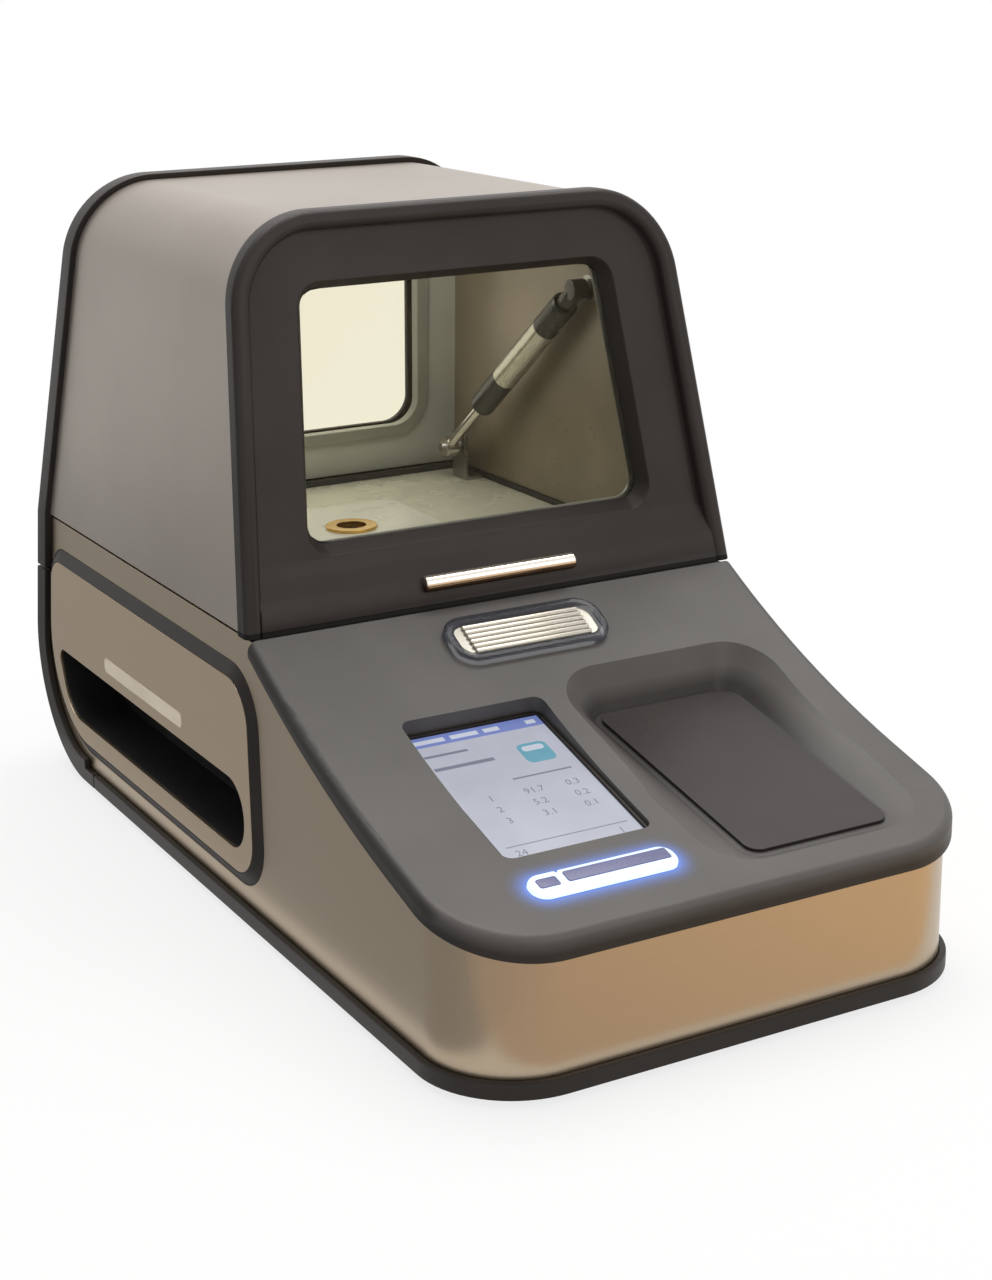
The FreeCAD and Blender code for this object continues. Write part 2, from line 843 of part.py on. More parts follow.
finish(made("console_deck_shape", deck_shape()), "console_deck")

# Mat on the floor of the recess

mat_low = d.mat_margin / cos(d.recess_tilt)
mat_length = (d.recess_back - d.recess_front) / cos(d.recess_tilt)
tray_mat = slab("tray_mat", "XY",
                rectangle(d.recess_left + d.mat_margin, recess_right - d.mat_margin,
                          mat_low, mat_length - d.mat_margin),
                as_size(0), d.mat_sheet, (7, 7, d.mat_round, 7))
recess_start = d.deck_front_top + d.recess_front * tan(d.deck_slope) - d.recess_depth
finish(tray_mat, "tray_mat", d.recess_tilt, d.recess_front, recess_start)

# Display: frame in the well, touch glass under it and panel, square to the slope

frame_top = -d.screen_drop
frame_low = frame_top - d.frame_sheet
glass_low = frame_low - d.glass_sheet
frame_width = d.screen_width + 2 * d.screen_margin - 2 * d.frame_play
frame_length = d.screen_length + 2 * d.screen_margin - 2 * d.frame_play
outer_width = d.screen_width + 2 * d.screen_margin + 2 * d.frame_land
outer_length = d.screen_length + 2 * d.screen_margin + 2 * d.frame_land
screen_frame = slab("screen_frame", "XY", centred(d.screen_middle, d.screen_centre, frame_width,
                                                  frame_length),
                    frame_low, frame_top, [d.screen_round - d.frame_play] * 4)
carve(screen_frame, "XY", centred(d.screen_middle, d.screen_centre, d.screen_width, d.screen_length),
      frame_low, frame_top, (1.5, 1.5, 1.5, 1.5))
finish(screen_frame, "screen_frame", d.deck_slope, 0, d.deck_front_top)
touch_glass = slab("touch_glass", "XY", centred(d.screen_middle, d.screen_centre, outer_width,
                                                outer_length),
                   glass_low, frame_low)
finish(touch_glass, "touch_glass", d.deck_slope, 0, d.deck_front_top)
screen_panel = slab("screen_module", "XY", centred(d.screen_middle, d.screen_centre, outer_width - 2,
                                                   outer_length - 2),
                    glass_low - d.panel_sheet, glass_low)
finish(screen_panel, "screen_module", d.deck_slope, 0, d.deck_front_top)

# Lit ring and its two keys

ring_half = d.key_ring_width / 2
ring_low = -d.deck_wall
key_height = d.key_ring_length - 2 * d.key_ring_band
key_left = d.key_middle - ring_half + d.key_ring_band
key_right = d.key_middle + ring_half - d.key_ring_band
web = d.key_ring_band / 2
key_ring = slab("key_ring", "XY", centred(d.key_middle, d.key_centre, d.key_ring_width,
                                          d.key_ring_length),
                ring_low, d.key_ring_proud, [d.key_ring_length / 2.2] * 4)
key_spans = {"menu_key": (key_left, d.key_split - web), "start_key": (d.key_split + web, key_right)}
for span in key_spans.values():
    carve(key_ring, "XY", rectangle(span[0], span[1], d.key_centre - key_height / 2,
                                    d.key_centre + key_height / 2),
          ring_low, d.key_ring_proud, [key_height / 2.4] * 4)
finish(key_ring, "key_light_ring", d.deck_slope, 0, d.deck_front_top)
for label, span in key_spans.items():
    key = slab(label + "_cap", "XY",
               rectangle(span[0] + d.key_gap, span[1] - d.key_gap,
                         d.key_centre - key_height / 2 + d.key_gap,
                         d.key_centre + key_height / 2 - d.key_gap),
               d.key_proud - d.key_sheet, d.key_proud, [key_height / 2.4 - d.key_gap] * 4)
    middle = (span[0] + span[1]) / 2
    add(key, "XY", centred(middle, d.key_centre, as_size(4), as_size(4)), -d.board_drop + 1.2,
        d.key_proud - d.key_sheet)
    finish(key, label, d.deck_slope, 0, d.deck_front_top)
keypad_board = slab("keypad_board_plate", "XY",
                    centred(d.key_middle, d.key_centre, d.key_ring_width + 14, d.key_ring_length + 4),
                    -d.board_drop - d.board_sheet, -d.board_drop)
for side in (-1, 1):
    add(keypad_board, "XY", centred(d.key_middle + side * (ring_half + 4), d.key_centre, as_size(4),
                                    as_size(6)),
        -d.board_drop, -d.deck_wall)
finish(keypad_board, "keypad_board", d.deck_slope, 0, d.deck_front_top)

# Warning beacon: rounded bezel and ribbed lens

beacon_hollow = (centred(as_size(0), as_size(0), d.beacon_width - 2 * d.beacon_band,
                         d.beacon_length - 2 * d.beacon_band),
                 [d.beacon_round - d.beacon_band] * 4, d.beacon_lift, d.beacon_proud)
beacon_bezel = slab("beacon_ring", "XY", centred(as_size(0), as_size(0), d.beacon_width,
                                                 d.beacon_length),
                    d.beacon_lift, d.beacon_proud, [d.beacon_round] * 4, [beacon_hollow])


def top_edges(body, height):
    """Names of a body's edges that lie wholly at one height."""
    doc.recompute()
    names = []
    for number, edge in enumerate(body.Shape.Edges, start=1):
        if abs(edge.BoundBox.ZMin - float(height)) < 1e-4 and abs(edge.BoundBox.ZMax - float(height)) < 1e-4:
            names.append("Edge%d" % number)
    return names


def soften(body, height, radius):
    """Round all edges that lie at one height."""
    names = top_edges(body, height)
    base = body.Tip
    fillet = body.newObject("PartDesign::Fillet", "Softened")
    fillet.Base = (base, names)
    bind(fillet, "Radius", radius)
    body.Tip = fillet


soften(beacon_bezel, d.beacon_proud, as_size(1.6))
beacon_place = (as_size(beacon_angle), as_size(beacon_height))
finish(beacon_bezel, "beacon_bezel", beacon_place[0], d.beacon_centre, beacon_place[1])
lens_play = 0.2
lens_width = d.beacon_width - 2 * d.beacon_band - 2 * lens_play
lens_length = d.beacon_length - 2 * d.beacon_band - 2 * lens_play
lens_top = d.beacon_proud - d.rib_radius - 0.4
lens_body = slab("lens_body", "XY", centred(as_size(0), as_size(0), lens_width, lens_length),
                 -d.lens_depth, lens_top, [d.beacon_round - d.beacon_band - lens_play] * 4)
ribs = [rod("rib_%d" % index, "X", d.rib_radius, -lens_width / 2 + d.rib_radius * 3.5,
            d.rib_pitch * (index - (float(d.rib_count) - 1) / 2), lens_top,
            lens_width - d.rib_radius * 7)
        for index in range(int(float(d.rib_count)))]
finish(joined("lens", lens_body, *ribs), "beacon_lens", beacon_place[0], d.beacon_centre,
       beacon_place[1])

# Handle panels: surround, brushed plate, hand-hold cup and lamp strip on each flank


def flank_part(side, corners, near, far):
    """A flank outline as slab and carve want it, between two distances off the middle plane."""
    spots = [(corner[0], corner[1]) for corner in corners]
    radii = [corner[2] for corner in corners]
    return (spots, radii, -far, -near) if side < 0 else (spots, radii, near, far)


def flank_slab(name, side, corners, near, far, hollows=()):
    """A slab on one flank with its hollows, each (corners, near, far)."""
    spots, radii, start, end = flank_part(side, corners, near, far)
    return slab(name, "YZ", spots, start, end, radii, [flank_part(side, *hollow) for hollow in hollows])


def surround_shape(side):
    """Frame round a handle panel: straight through the wrap, then sloping up to the panel's edge."""
    face, top = one(wrap_half_width), one(wrap_half_width) + one(d.handle_proud)
    base = flank_prism(handle_corners(d.surround_band), face - 3, face)
    slope = Part.makeLoft([flank_wire(handle_corners(d.surround_band), face),
                           flank_wire(handle_corners(as_size(0.6)), top)], True, True)
    ring = base.fuse(slope).cut(flank_prism(handle_corners(as_size(0)), face - 4, top + 1))
    return ring if side > 0 else ring.mirror(Vector(0, 0, 0), Vector(1, 0, 0))


lamp_back = d.lamp_front + d.lamp_length
lamp_corners = [(d.lamp_front, d.lamp_low, as_size(3)), (lamp_back, d.lamp_low, as_size(3)),
                (lamp_back, d.lamp_low + d.lamp_height, as_size(3)),
                (d.lamp_front, d.lamp_low + d.lamp_height, as_size(3))]
for side, hand in ((-1, "left"), (1, "right")):
    finish(made("surround_" + hand, surround_shape(side)), "handle_surround_" + hand)
    face = wrap_half_width + d.handle_proud
    back = face - d.handle_sheet
    plate = flank_slab("plate_" + hand, side, handle_corners(as_size(0)), back, face,
                       [(slot_corners(as_size(0)), back, face), (lamp_corners, back, face)])
    finish(plate, "handle_panel_" + hand)
    cup = flank_slab("cup_" + hand, side, slot_corners(d.cup_wall), back - d.cup_depth, back,
                     [(slot_corners(as_size(0)), back - d.cup_depth + d.cup_wall, back)])
    finish(cup, "handle_cup_" + hand)
    lens = flank_slab("lamp_" + hand, side, lamp_corners, back, face + 0.4)
    finish(lens, "side_lamp_" + hand)

# Rear panel: leaning back with side bands, a connector bay and the ledge behind the chamber

panel_top = d.split - d.split_gap


def rear_panel_shape():
    half = one(d.width) / 2
    band, wall = one(d.rear_band), one(d.rear_wall)
    low = one(tray_end) + 0.5
    shell = flank_prism(rear_outline(0, low, panel_top), -half, half)
    rim_height = one(d.rim_height)
    inner = [(corner[0], corner[1], corner[2]) for corner in rear_outline(band, low - 1, panel_top + 1)]
    shell = shell.cut(flank_prism(inner, -half - 1, half + 1))
    middle = rear_outline(wall, low - 1, panel_top + 1)
    inside = one(wrap_half_width) + one(d.rim_gap)
    shell = shell.cut(flank_prism(middle, -inside, inside))
    shell = shell.cut(Part.makeBox(2 * half + 2, band + 1, 40,
                                   Vector(-half - 1, low - 1, one(d.foot_lift) + rim_height)))
    ledge_back = one(rear_line(panel_top)) - 1
    sheet_height = one(d.ledge_sheet)
    ledge_front = one(rear_line(d.parting)) - band - 1 - sheet_height
    inside = one(wrap_half_width) - one(d.handle_sheet) - 1.4
    ledge = Part.makeBox(2 * inside, ledge_back - ledge_front, sheet_height,
                         Vector(-inside, ledge_front, one(panel_top) - sheet_height))
    riser = Part.makeBox(2 * inside, sheet_height,
                         one(d.parting) - one(d.floor_sheet) - one(panel_top) + sheet_height,
                         Vector(-inside, ledge_front, one(panel_top) - sheet_height))
    wide, bay = one(bay_half_width), one(d.bay_wall)
    deep = one(bay_face)
    box = Part.makeBox(2 * (wide + bay), one(d.depth) - deep + 2,
                       one(d.bay_top) - one(d.bay_low) + 2 * bay,
                       Vector(-wide - bay, deep, one(d.bay_low) - bay))
    box = box.common(flank_prism(rear_outline(0.5, low, panel_top), -half, half))
    hollow = Part.makeBox(2 * wide, one(d.depth), one(d.bay_top) - one(d.bay_low),
                          Vector(-wide, deep + bay, one(d.bay_low)))
    cuts = [hollow] + bay_openings(deep)
    return shell.fuse([ledge, riser, box]).cut(cuts).removeSplitter()


def bay_openings(deep):
    """Holes in the connector bay's face: mains inlet with its rocker, data port, fan and its screws."""
    return [bay_hole(one(inlet_middle), one(d.inlet_height), inlet_width, inlet_tall, deep),
            bay_hole(one(d.port_middle), one(d.inlet_height), port_width, port_tall, deep),
            Part.makeCylinder(one(d.fan_radius) + 0.5, 20,
                              Vector(one(fan_middle), deep - 5, one(d.fan_height)),
                              Vector(0, 1, 0))]


def bay_hole(x, z, width, height, deep):
    return Part.makeBox(width, 20, height, Vector(x - width / 2, deep - 5, z - height / 2))


inlet_width, inlet_tall = 28.0, 52.0
port_width, port_tall = 17.0, 14.0
finish(made("rear_panel_shape", rear_panel_shape()), "rear_panel")

# Hood: arch-shaped pieces cut from one tapered arch between the leaning front and rear planes

front_far = d.bezel_recess + d.collar_depth + d.lead_glass


def arch(inset, low):
    """The solid inside the hood's arch, set in from its outer face, from height low up."""
    lean = math.cos(math.radians(one(d.side_taper)))
    top = one(d.height) - inset
    knee = max(one(low), one(hood_low))

    def half(z):
        return one(hood_half_width(as_size(z))) - inset / lean

    corners = [(half(knee), knee, 0), (half(top), top, one(d.hood_round) - inset),
               (-half(top), top, one(d.hood_round) - inset), (-half(knee), knee, 0)]
    if one(low) < knee:
        corners += [(-half(knee), one(low), 0), (half(knee), one(low), 0)]
    return front_prism(corners)


def lean_slice(line, near, far):
    """A slice along one leaning plane, between two distances behind it (negative: in front)."""
    low, high = -60.0, one(d.height) + 60
    corners = [(one(line(low)) + near, low, 0), (one(line(low)) + far, low, 0),
               (one(line(high)) + far, high, 0), (one(line(high)) + near, high, 0)]
    return flank_prism(corners, -d.width, d.width)


def front_slice(near, far):
    return lean_slice(front_line, one(near), one(far))


def rear_slice(near, far):
    """A slice inside the rear plane, between two distances in front of it."""
    return lean_slice(rear_line, -one(far), -one(near))


def between(front, rear):
    """The space from a distance behind the front plane to a distance in front of the rear plane."""
    low, high = -60.0, one(d.height) + 60
    corners = [(one(front_line(low)) + one(front), low, 0), (one(rear_line(low)) - one(rear), low, 0),
               (one(rear_line(high)) - one(rear), high, 0),
               (one(front_line(high)) + one(front), high, 0)]
    return flank_prism(corners, -d.width, d.width)


def pane(low, top, half_width, radius, grow):
    """A window outline seen from the front, its sides leaning like the hood's, grown all round."""
    taper = math.tan(math.radians(one(d.side_taper)))
    low, top, grow, radius = one(low), one(top), one(grow), one(radius)
    upper = one(half_width) - (top - low) * taper
    return front_prism([(one(half_width) + grow, low - grow, radius + grow),
                        (upper + grow, top + grow, radius + grow),
                        (-upper - grow, top + grow, radius + grow),
                        (-one(half_width) - grow, low - grow, radius + grow)])


def front_pane(grow):
    return pane(d.window_low, d.height - d.window_drop, d.width / 2 - d.window_inset, d.window_round, grow)


def front_wire(grow, behind):
    """The front window's outline, grown by a margin, on a plane set back behind the hood's front."""
    low, top = one(d.window_low), one(d.height - d.window_drop)
    radius, wide = one(d.window_round) + grow, one(d.width / 2 - d.window_inset)
    upper = wide - (top - low) * math.tan(math.radians(one(d.side_taper)))
    corners = [(wide + grow, low - grow, radius), (upper + grow, top + grow, radius),
               (-upper - grow, top + grow, radius), (-wide - grow, low - grow, radius)]
    return rounded_wire(corners, lambda point: Vector(point.x, one(front_line(point.y)) + behind, point.y))


def rear_pane(grow):
    return pane(d.rear_window_low, d.height - d.rear_window_drop, d.width / 2 - d.rear_window_inset,
                d.rear_window_round, grow)


def on_front_plane(edge):
    """Whether an edge lies in the hood's front plane, above its bottom edge."""
    for share in (0.1, 0.5, 0.9):
        point = edge.valueAt(edge.FirstParameter + share * (edge.LastParameter - edge.FirstParameter))
        if abs(point.y - one(front_line(point.z))) > 0.01 or point.z < one(hood_low) + 0.01:
            return False
    return True


def bezel_shape():
    """Front moulding: a proud round rim, a field set back behind it, an apron and the window's collar."""
    wrap_depth, recess = one(d.bezel_wrap), one(d.bezel_recess)
    shape = arch(0.0, hood_low).common(front_slice(0, wrap_depth))
    shape = shape.cut(arch(one(d.bezel_rim), one(hood_low) - 20).common(front_slice(-5, recess)))
    shape = shape.makeFillet(one(d.bezel_edge), [edge for edge in shape.Edges if on_front_plane(edge)])
    low, apron_low, apron_top = one(hood_low), one(d.apron_low), one(d.apron_top)
    wedge = flank_prism([(one(front_line(low)), low, 0), (one(front_line(low)) + wrap_depth, low, 0),
                         (one(front_line(apron_top)) + wrap_depth, apron_top, 0),
                         (one(front_line(apron_top)) + recess, apron_top, 0),
                         (one(front_line(apron_low)), apron_low, 30)], -d.width, d.width)
    apron = wedge.common(arch(one(d.bezel_rim) - 1, low))
    collar_far = recess + one(d.collar_depth)
    collar = front_pane(d.collar_band + d.window_funnel).common(front_slice(recess, collar_far))
    funnel = Part.makeLoft([front_wire(1.25 * one(d.window_funnel), recess - 0.25 * one(d.collar_depth)),
                            front_wire(0, collar_far)], True, True)
    return shape.fuse([apron, collar]).cut([front_pane(0), funnel]).removeSplitter()


def ring_between(outer, inner, low):
    return arch(one(outer), low).cut(arch(one(inner), one(low) - 20))


def shell_shape():
    sheet_inside = d.shell_inset + d.shell_sheet
    return ring_between(d.shell_inset, sheet_inside, hood_low).common(between(d.bezel_wrap, d.rear_band))


def liner_shape():
    """Light inner lining: arch, front and rear walls round the windows, and the bottom flange."""
    inner = d.liner_inset + d.liner_sheet
    rear_near = d.rear_band + 0.5
    lining = ring_between(d.liner_inset, inner, hood_low).common(between(front_far, rear_near))
    front_wall = arch(one(d.liner_inset), hood_low).common(front_slice(front_far, front_far + d.liner_sheet))
    rear_wall = arch(one(d.liner_inset), hood_low).common(rear_slice(rear_near,
                                                                     rear_near + d.liner_sheet))
    flange = ring_between(d.shell_inset + d.shell_sheet, d.liner_inset, hood_low)
    flange = flange.common(between(d.bezel_wrap, d.rear_band))
    flange = flange.common(Part.makeBox(2 * one(d.width), 2 * one(d.depth), one(d.liner_sheet),
                                        Vector(-one(d.width), 0, one(hood_low))))
    walls = front_wall.cut(front_pane(1)).fuse(rear_wall.cut(rear_pane(d.gasket_band + 0.2)))
    return lining.fuse([walls, flange]).removeSplitter()


def rear_frame_shape():
    """Rear moulding: a plate with the rear window's opening and a band that wraps onto the flanks."""
    leg_low = one(d.split)
    plate = arch(0.0, leg_low).common(rear_slice(0, d.rear_band))
    inside = arch(one(d.bezel_rim), leg_low - 20).common(rear_slice(d.rear_frame_sheet, d.rear_band + 1))
    return plate.cut([inside, rear_pane(0)]).removeSplitter()


bezel = bezel_shape()
finish(made("bezel_shape", bezel), "hood_front_bezel")
finish(made("shell_shape", shell_shape()), "hood_shell")
finish(made("rear_frame_shape", rear_frame_shape()), "hood_rear_frame")

front_glass = front_pane(d.window_lap).common(front_slice(d.bezel_recess + d.collar_depth, front_far))
finish(made("front_window_shape", front_glass), "front_window")
rear_glass_far = d.rear_frame_sheet + d.lead_glass
rear_glass = rear_pane(d.gasket_band - 1).common(rear_slice(d.rear_frame_sheet, rear_glass_far))
finish(made("rear_window_shape", rear_glass), "rear_window")
gasket = rear_pane(d.gasket_band).cut(rear_pane(0))
gasket = gasket.common(rear_slice(rear_glass_far, d.rear_band + 0.5 + d.liner_sheet + d.gasket_sheet))
finish(made("rear_gasket_shape", gasket), "rear_window_gasket")


def pull_bar_shape():
    """Round bar let into the apron, so that its front half stands proud."""
    height = one(d.pull_bar_height)
    share = (height - one(d.apron_low)) / (one(d.apron_top) - one(d.apron_low))
    along = one(front_line(height)) + share * one(d.bezel_recess) - 0.8
    half = one(d.pull_bar_half_length)
    bar = Part.makeCylinder(one(d.pull_bar_radius), 2 * half, Vector(-half, along, height),
                            Vector(1, 0, 0))
    ends = [edge for edge in bar.Edges if abs(edge.BoundBox.XMax - edge.BoundBox.XMin) < 0.01]
    return bar.makeFillet(1.2, ends).cut(bezel)


finish(made("pull_bar_shape", pull_bar_shape()), "pull_bar")

# Sample chamber: floor, stage, aperture ring and the seal under the hood

floor_top = d.parting - d.floor_sheet
floor_low = floor_top - d.floor_sheet
floor_half = wrap_half_width - d.wrap_sheet - d.rim_gap
floor_back = rear_line(d.parting) - d.rear_band - 1 - d.ledge_sheet
switch_side, switch_along = d.width / 2 - d.switch_inset, d.hood_front + d.switch_gap
floor_plate = slab("floor_plate", "XY", rectangle(-floor_half, floor_half, d.floor_front, floor_back),
                   floor_low, floor_top)
floor_holes = [rod("floor_hole", "Z", d.ring_radius - 2, as_size(0), aperture_along, floor_low - 1,
                   d.floor_sheet + 2),
               rod("plunger_hole", "Z", d.plunger_radius + 0.5, switch_side, switch_along, floor_low - 1,
                   d.floor_sheet + 2)]
finish(less("floor_cut", floor_plate, *floor_holes), "chamber_floor")
stage_top = floor_top + d.stage_sheet
stage = slab("stage", "XY", centred(as_size(0), aperture_along, d.stage_width, d.stage_width),
             floor_top, stage_top, [as_size(6)] * 4)
stage_hole = rod("stage_hole", "Z", d.ring_radius - 2, as_size(0), aperture_along, floor_low - 1,
                 as_size(20))
finish(less("stage_cut", stage, stage_hole), "stage_plate")
ring_base = rod("ring_base", "Z", d.ring_radius - 2, as_size(0), aperture_along, floor_low,
                stage_top - floor_low)
ring_flange = rod("ring_flange", "Z", d.ring_radius, as_size(0), aperture_along, stage_top,
                  d.ring_height)
ring_bore = rod("ring_bore", "Z", d.aperture_radius, as_size(0), aperture_along, floor_low - 1,
                as_size(20))
finish(less("aperture", joined("ring_solid", ring_base, ring_flange), ring_bore), "aperture_ring")
seal_half = floor_half - 1
seal_inner = seal_half - d.seal_band
seal_front, seal_back = d.floor_front + 1, floor_back - 1.5
seal = slab("seal", "XY", rectangle(-seal_half, seal_half, seal_front, seal_back), floor_top,
            hood_low - d.seal_play,
            (), [(rectangle(-seal_inner, seal_inner, seal_front + d.seal_band, seal_back - d.seal_band),
                  (None,) * 4,
                  floor_top, hood_low - d.seal_play)])
finish(seal, "chamber_seal")

# Interlock: switch under the floor, its plunger, and the tab on the hood that holds it down

plunger_top = hood_low - 2.3
switch_body = block("switch_body", switch_side - 7, switch_side + 7, switch_along - 10,
                    switch_along + 10,
                    floor_low - 18, floor_low)
switch_bore = rod("switch_bore", "Z", d.plunger_radius + d.hinge_play, switch_side, switch_along,
                  floor_low - 14, as_size(20))
finish(less("switch", switch_body, switch_bore), "interlock_switch")
finish(rod("plunger", "Z", d.plunger_radius, switch_side, switch_along, floor_low - 11,
           plunger_top - floor_low + 11),
       "interlock_plunger")
tab_start = Vector(one(switch_side) - 4, one(switch_along) - 4, one(plunger_top) + 0.3)
tab_low = Part.makeBox(8, 8, 12, tab_start)
tab_high = Part.makeBox(40, 8, 8, tab_start + Vector(0, 0, 4))
tab = tab_low.fuse(tab_high.common(arch(one(d.liner_inset + d.liner_sheet), 100.0)))
finish(made("liner_shape", liner_shape().fuse(tab)), "hood_liner")

# Hinges: leaves on the rear faces below and above the split, built square to the leaning rear

hinge_line_out = d.barrel_radius + 0.3
knuckle = d.hinge_width / 5


def hinge_leaves(name, up, turns):
    """One set of leaves: a plate each side with its knuckles, and a bore for the pin."""
    bore = d.hinge_pin_radius if up < 0 else d.hinge_pin_radius + d.hinge_play
    solids = []
    for side in (-1, 1):
        start = side * d.hinge_offset - d.hinge_width / 2
        near, far = (as_size(-1) * d.hinge_reach,
                     -hinge_line_out) if up < 0 else (hinge_line_out, d.hinge_reach)
        solids.append(block("%s_leaf_%d" % (name, side), start, start + d.hinge_width, as_size(0),
                            d.hinge_leaf, near, far))
        for turn in turns:
            low = start + knuckle * turn + (0.15 if turn else 0)
            length = knuckle - 0.3 if turn not in (0, 4) else knuckle - 0.15
            barrel = rod("%s_barrel_%d_%d" % (name, side, turn), "X", d.barrel_radius, low,
                         hinge_line_out, as_size(0), length)
            root_low, root_high = (-hinge_line_out,
                                   as_size(0)) if up < 0 else (as_size(0), hinge_line_out)
            root = block("%s_root_%d_%d" % (name, side, turn), low, low + length, as_size(0.3),
                         hinge_line_out, root_low, root_high)
            solids += [barrel, root]
            foot_low, foot_high = (-hinge_line_out - 2,
                                   -hinge_line_out) if up < 0 else (hinge_line_out, hinge_line_out + 2)
            solids.append(block("%s_web_%d_%d" % (name, side, turn), low, low + length, as_size(0),
                                d.hinge_leaf + 1,
                                foot_low, foot_high))
    bores = [rod("%s_bore_%d" % (name, side), "X", bore, side * d.hinge_offset - d.hinge_width,
                 hinge_line_out,
                 as_size(0), d.hinge_width * 2) for side in (-1, 1)]
    return less(name, joined(name + "_solid", *solids), *bores)


rear_place = (d.rear_lean, rear_line(d.split), d.split)
finish(hinge_leaves("base_hinge", -1, (0, 2, 4)), "hinge_base_leaves", *rear_place)
finish(hinge_leaves("hood_hinge", 1, (1, 3)), "hinge_hood_leaves", *rear_place)
pins = [rod("pin_%d" % side, "X", d.hinge_pin_radius, side * d.hinge_offset - d.hinge_width / 2,
            hinge_line_out,
            as_size(0), d.hinge_width) for side in (-1, 1)]
finish(joined("pins", *pins), "hinge_pins", *rear_place)

# Gas strut on the right, inside the chamber: rod on the base bracket, cylinder up to the hood

strut_side = d.width / 2 - d.strut_inset
strut_hood_along, strut_hood_height = d.depth - d.strut_hood_gap, d.height - d.strut_hood_drop
strut_base_along, strut_base_height = d.depth - d.strut_base_gap, d.parting + d.strut_base_rise
run = one(strut_base_along) - one(strut_hood_along)
rise = one(strut_hood_height) - one(strut_base_height)
strut_reach = as_size(math.hypot(run, rise))
strut_angle = as_size(math.degrees(math.atan2(run, rise)))
eye_low = strut_side - d.eye_width / 2
strut_place = (strut_angle, strut_base_along, strut_base_height)

rod_solid = joined("rod_solid", rod("rod_bar", "Z", d.strut_rod_radius, strut_side, as_size(0),
                                    as_size(4), strut_reach - d.strut_rod_end - 4),
                   rod("rod_eye", "X", d.eye_radius, eye_low, as_size(0), as_size(0), d.eye_width))
rod_bore = rod("rod_bore", "X", d.stud_radius + d.strut_play, eye_low - 1, as_size(0), as_size(0),
               d.eye_width + 2)
finish(less("strut_rod_cut", rod_solid, rod_bore), "strut_rod", *strut_place)
body_low = d.strut_body_start
cylinder_solid = joined("cylinder_solid",
                        rod("cylinder_tube", "Z", d.strut_radius, strut_side, as_size(0), body_low,
                            strut_reach - 8 - body_low),
                        rod("cylinder_neck", "Z", d.strut_rod_radius, strut_side, as_size(0),
                            strut_reach - 9, as_size(6)),
                        rod("cylinder_eye", "X", d.eye_radius, eye_low, as_size(0), strut_reach,
                            d.eye_width))
cylinder_bore = rod("cylinder_bore", "Z", d.strut_rod_radius + d.strut_play, strut_side, as_size(0),
                    body_low - 1,
                    strut_reach - 22 - body_low)
finish(less("strut_cylinder_cut", cylinder_solid, cylinder_bore), "strut_cylinder", *strut_place)

stud_end = strut_side + d.strut_radius + 1
foot = Part.makeCylinder(7, 40, Vector(one(stud_end), one(strut_hood_along), one(strut_hood_height)),
                         Vector(1, 0, 0))
foot = foot.common(arch(one(d.liner_inset + d.liner_sheet), 100.0))
finish(made("strut_hood_shape", foot), "strut_hood_bracket")
bracket_plate = block("bracket_plate", stud_end, stud_end + d.bracket_sheet, strut_base_along - 8,
                      strut_base_along + 8,
                      floor_top, strut_base_height + 7)
bracket_foot = block("bracket_foot", stud_end, stud_end + 12, strut_base_along - 8,
                     strut_base_along + 8,
                     floor_top, floor_top + d.bracket_sheet)
bracket_pin = rod("bracket_pin", "X", d.stud_radius, eye_low - 1.5, strut_base_along,
                  strut_base_height,
                  stud_end - eye_low + 2)
finish(joined("base_bracket", bracket_plate, bracket_foot, bracket_pin), "strut_base_bracket")

# Inside the base: chassis, boards, supplies and the measuring head under the aperture

chassis_top = tray_top + d.chassis_sheet
finish(block("chassis", -floor_half + d.chassis_inset, floor_half - d.chassis_inset,
             d.front_round - d.chassis_inset,
             tray_end - d.chassis_inset, tray_top, chassis_top), "chassis_plate")
board_low = chassis_top + 8
board_half = d.width / 2 - d.board_inset
board = block("board", -board_half, board_half, as_size(45), as_size(185), board_low,
              board_low + d.board_sheet)
posts = [rod("post_%d_%d" % (side + 1, y), "Z", as_size(3), side * (board_half - 7), as_size(y),
             chassis_top, board_low - chassis_top)
         for side in (-1, 1) for y in (52, 178)]
chips = [block("chip_%d" % index, as_size(x), as_size(x + wide), as_size(y), as_size(y + deep),
               board_low + d.board_sheet, board_low + d.board_sheet + tall)
         for index, (x, y, wide, deep, tall) in enumerate(((-20, 90, 36, 36, 3), (40, 70, 20, 20, 2),
                                                           (-70, 130, 26, 14, 9)))]
finish(joined("main_board_solid", board, *posts, *chips), "main_board")
supply_low = d.supply_inset - d.width / 2
finish(block("supply_box", supply_low, supply_low + 49, aperture_along - 120, aperture_along + 30,
             chassis_top, chassis_top + 42),
       "power_supply")
high_voltage_top = chassis_top + 45
finish(block("high_voltage_box", as_size(-40), as_size(40), aperture_along - 45, aperture_along + 50,
             chassis_top, high_voltage_top), "high_voltage_supply")
head_low = floor_low - d.head_height
head_middle = floor_low - d.head_height / 2
head = rod("head_body", "Z", d.head_radius, as_size(0), aperture_along, head_low, d.head_height)
head_cuts = [rod("beam_bore", "Z", as_size(6), as_size(0), aperture_along, head_low - 1,
                 d.head_height + 2),
             rod("detector_bore", "X", as_size(7), as_size(0), aperture_along, head_middle,
                 as_size(60))]
finish(less("head", head, *head_cuts), "analysis_head")
finish(rod("detector_can", "X", as_size(7), as_size(10), aperture_along, head_middle, as_size(56)),
       "detector")
wheel_low = head_low - 1.5 - d.wheel_sheet
tube_top = wheel_low - 1
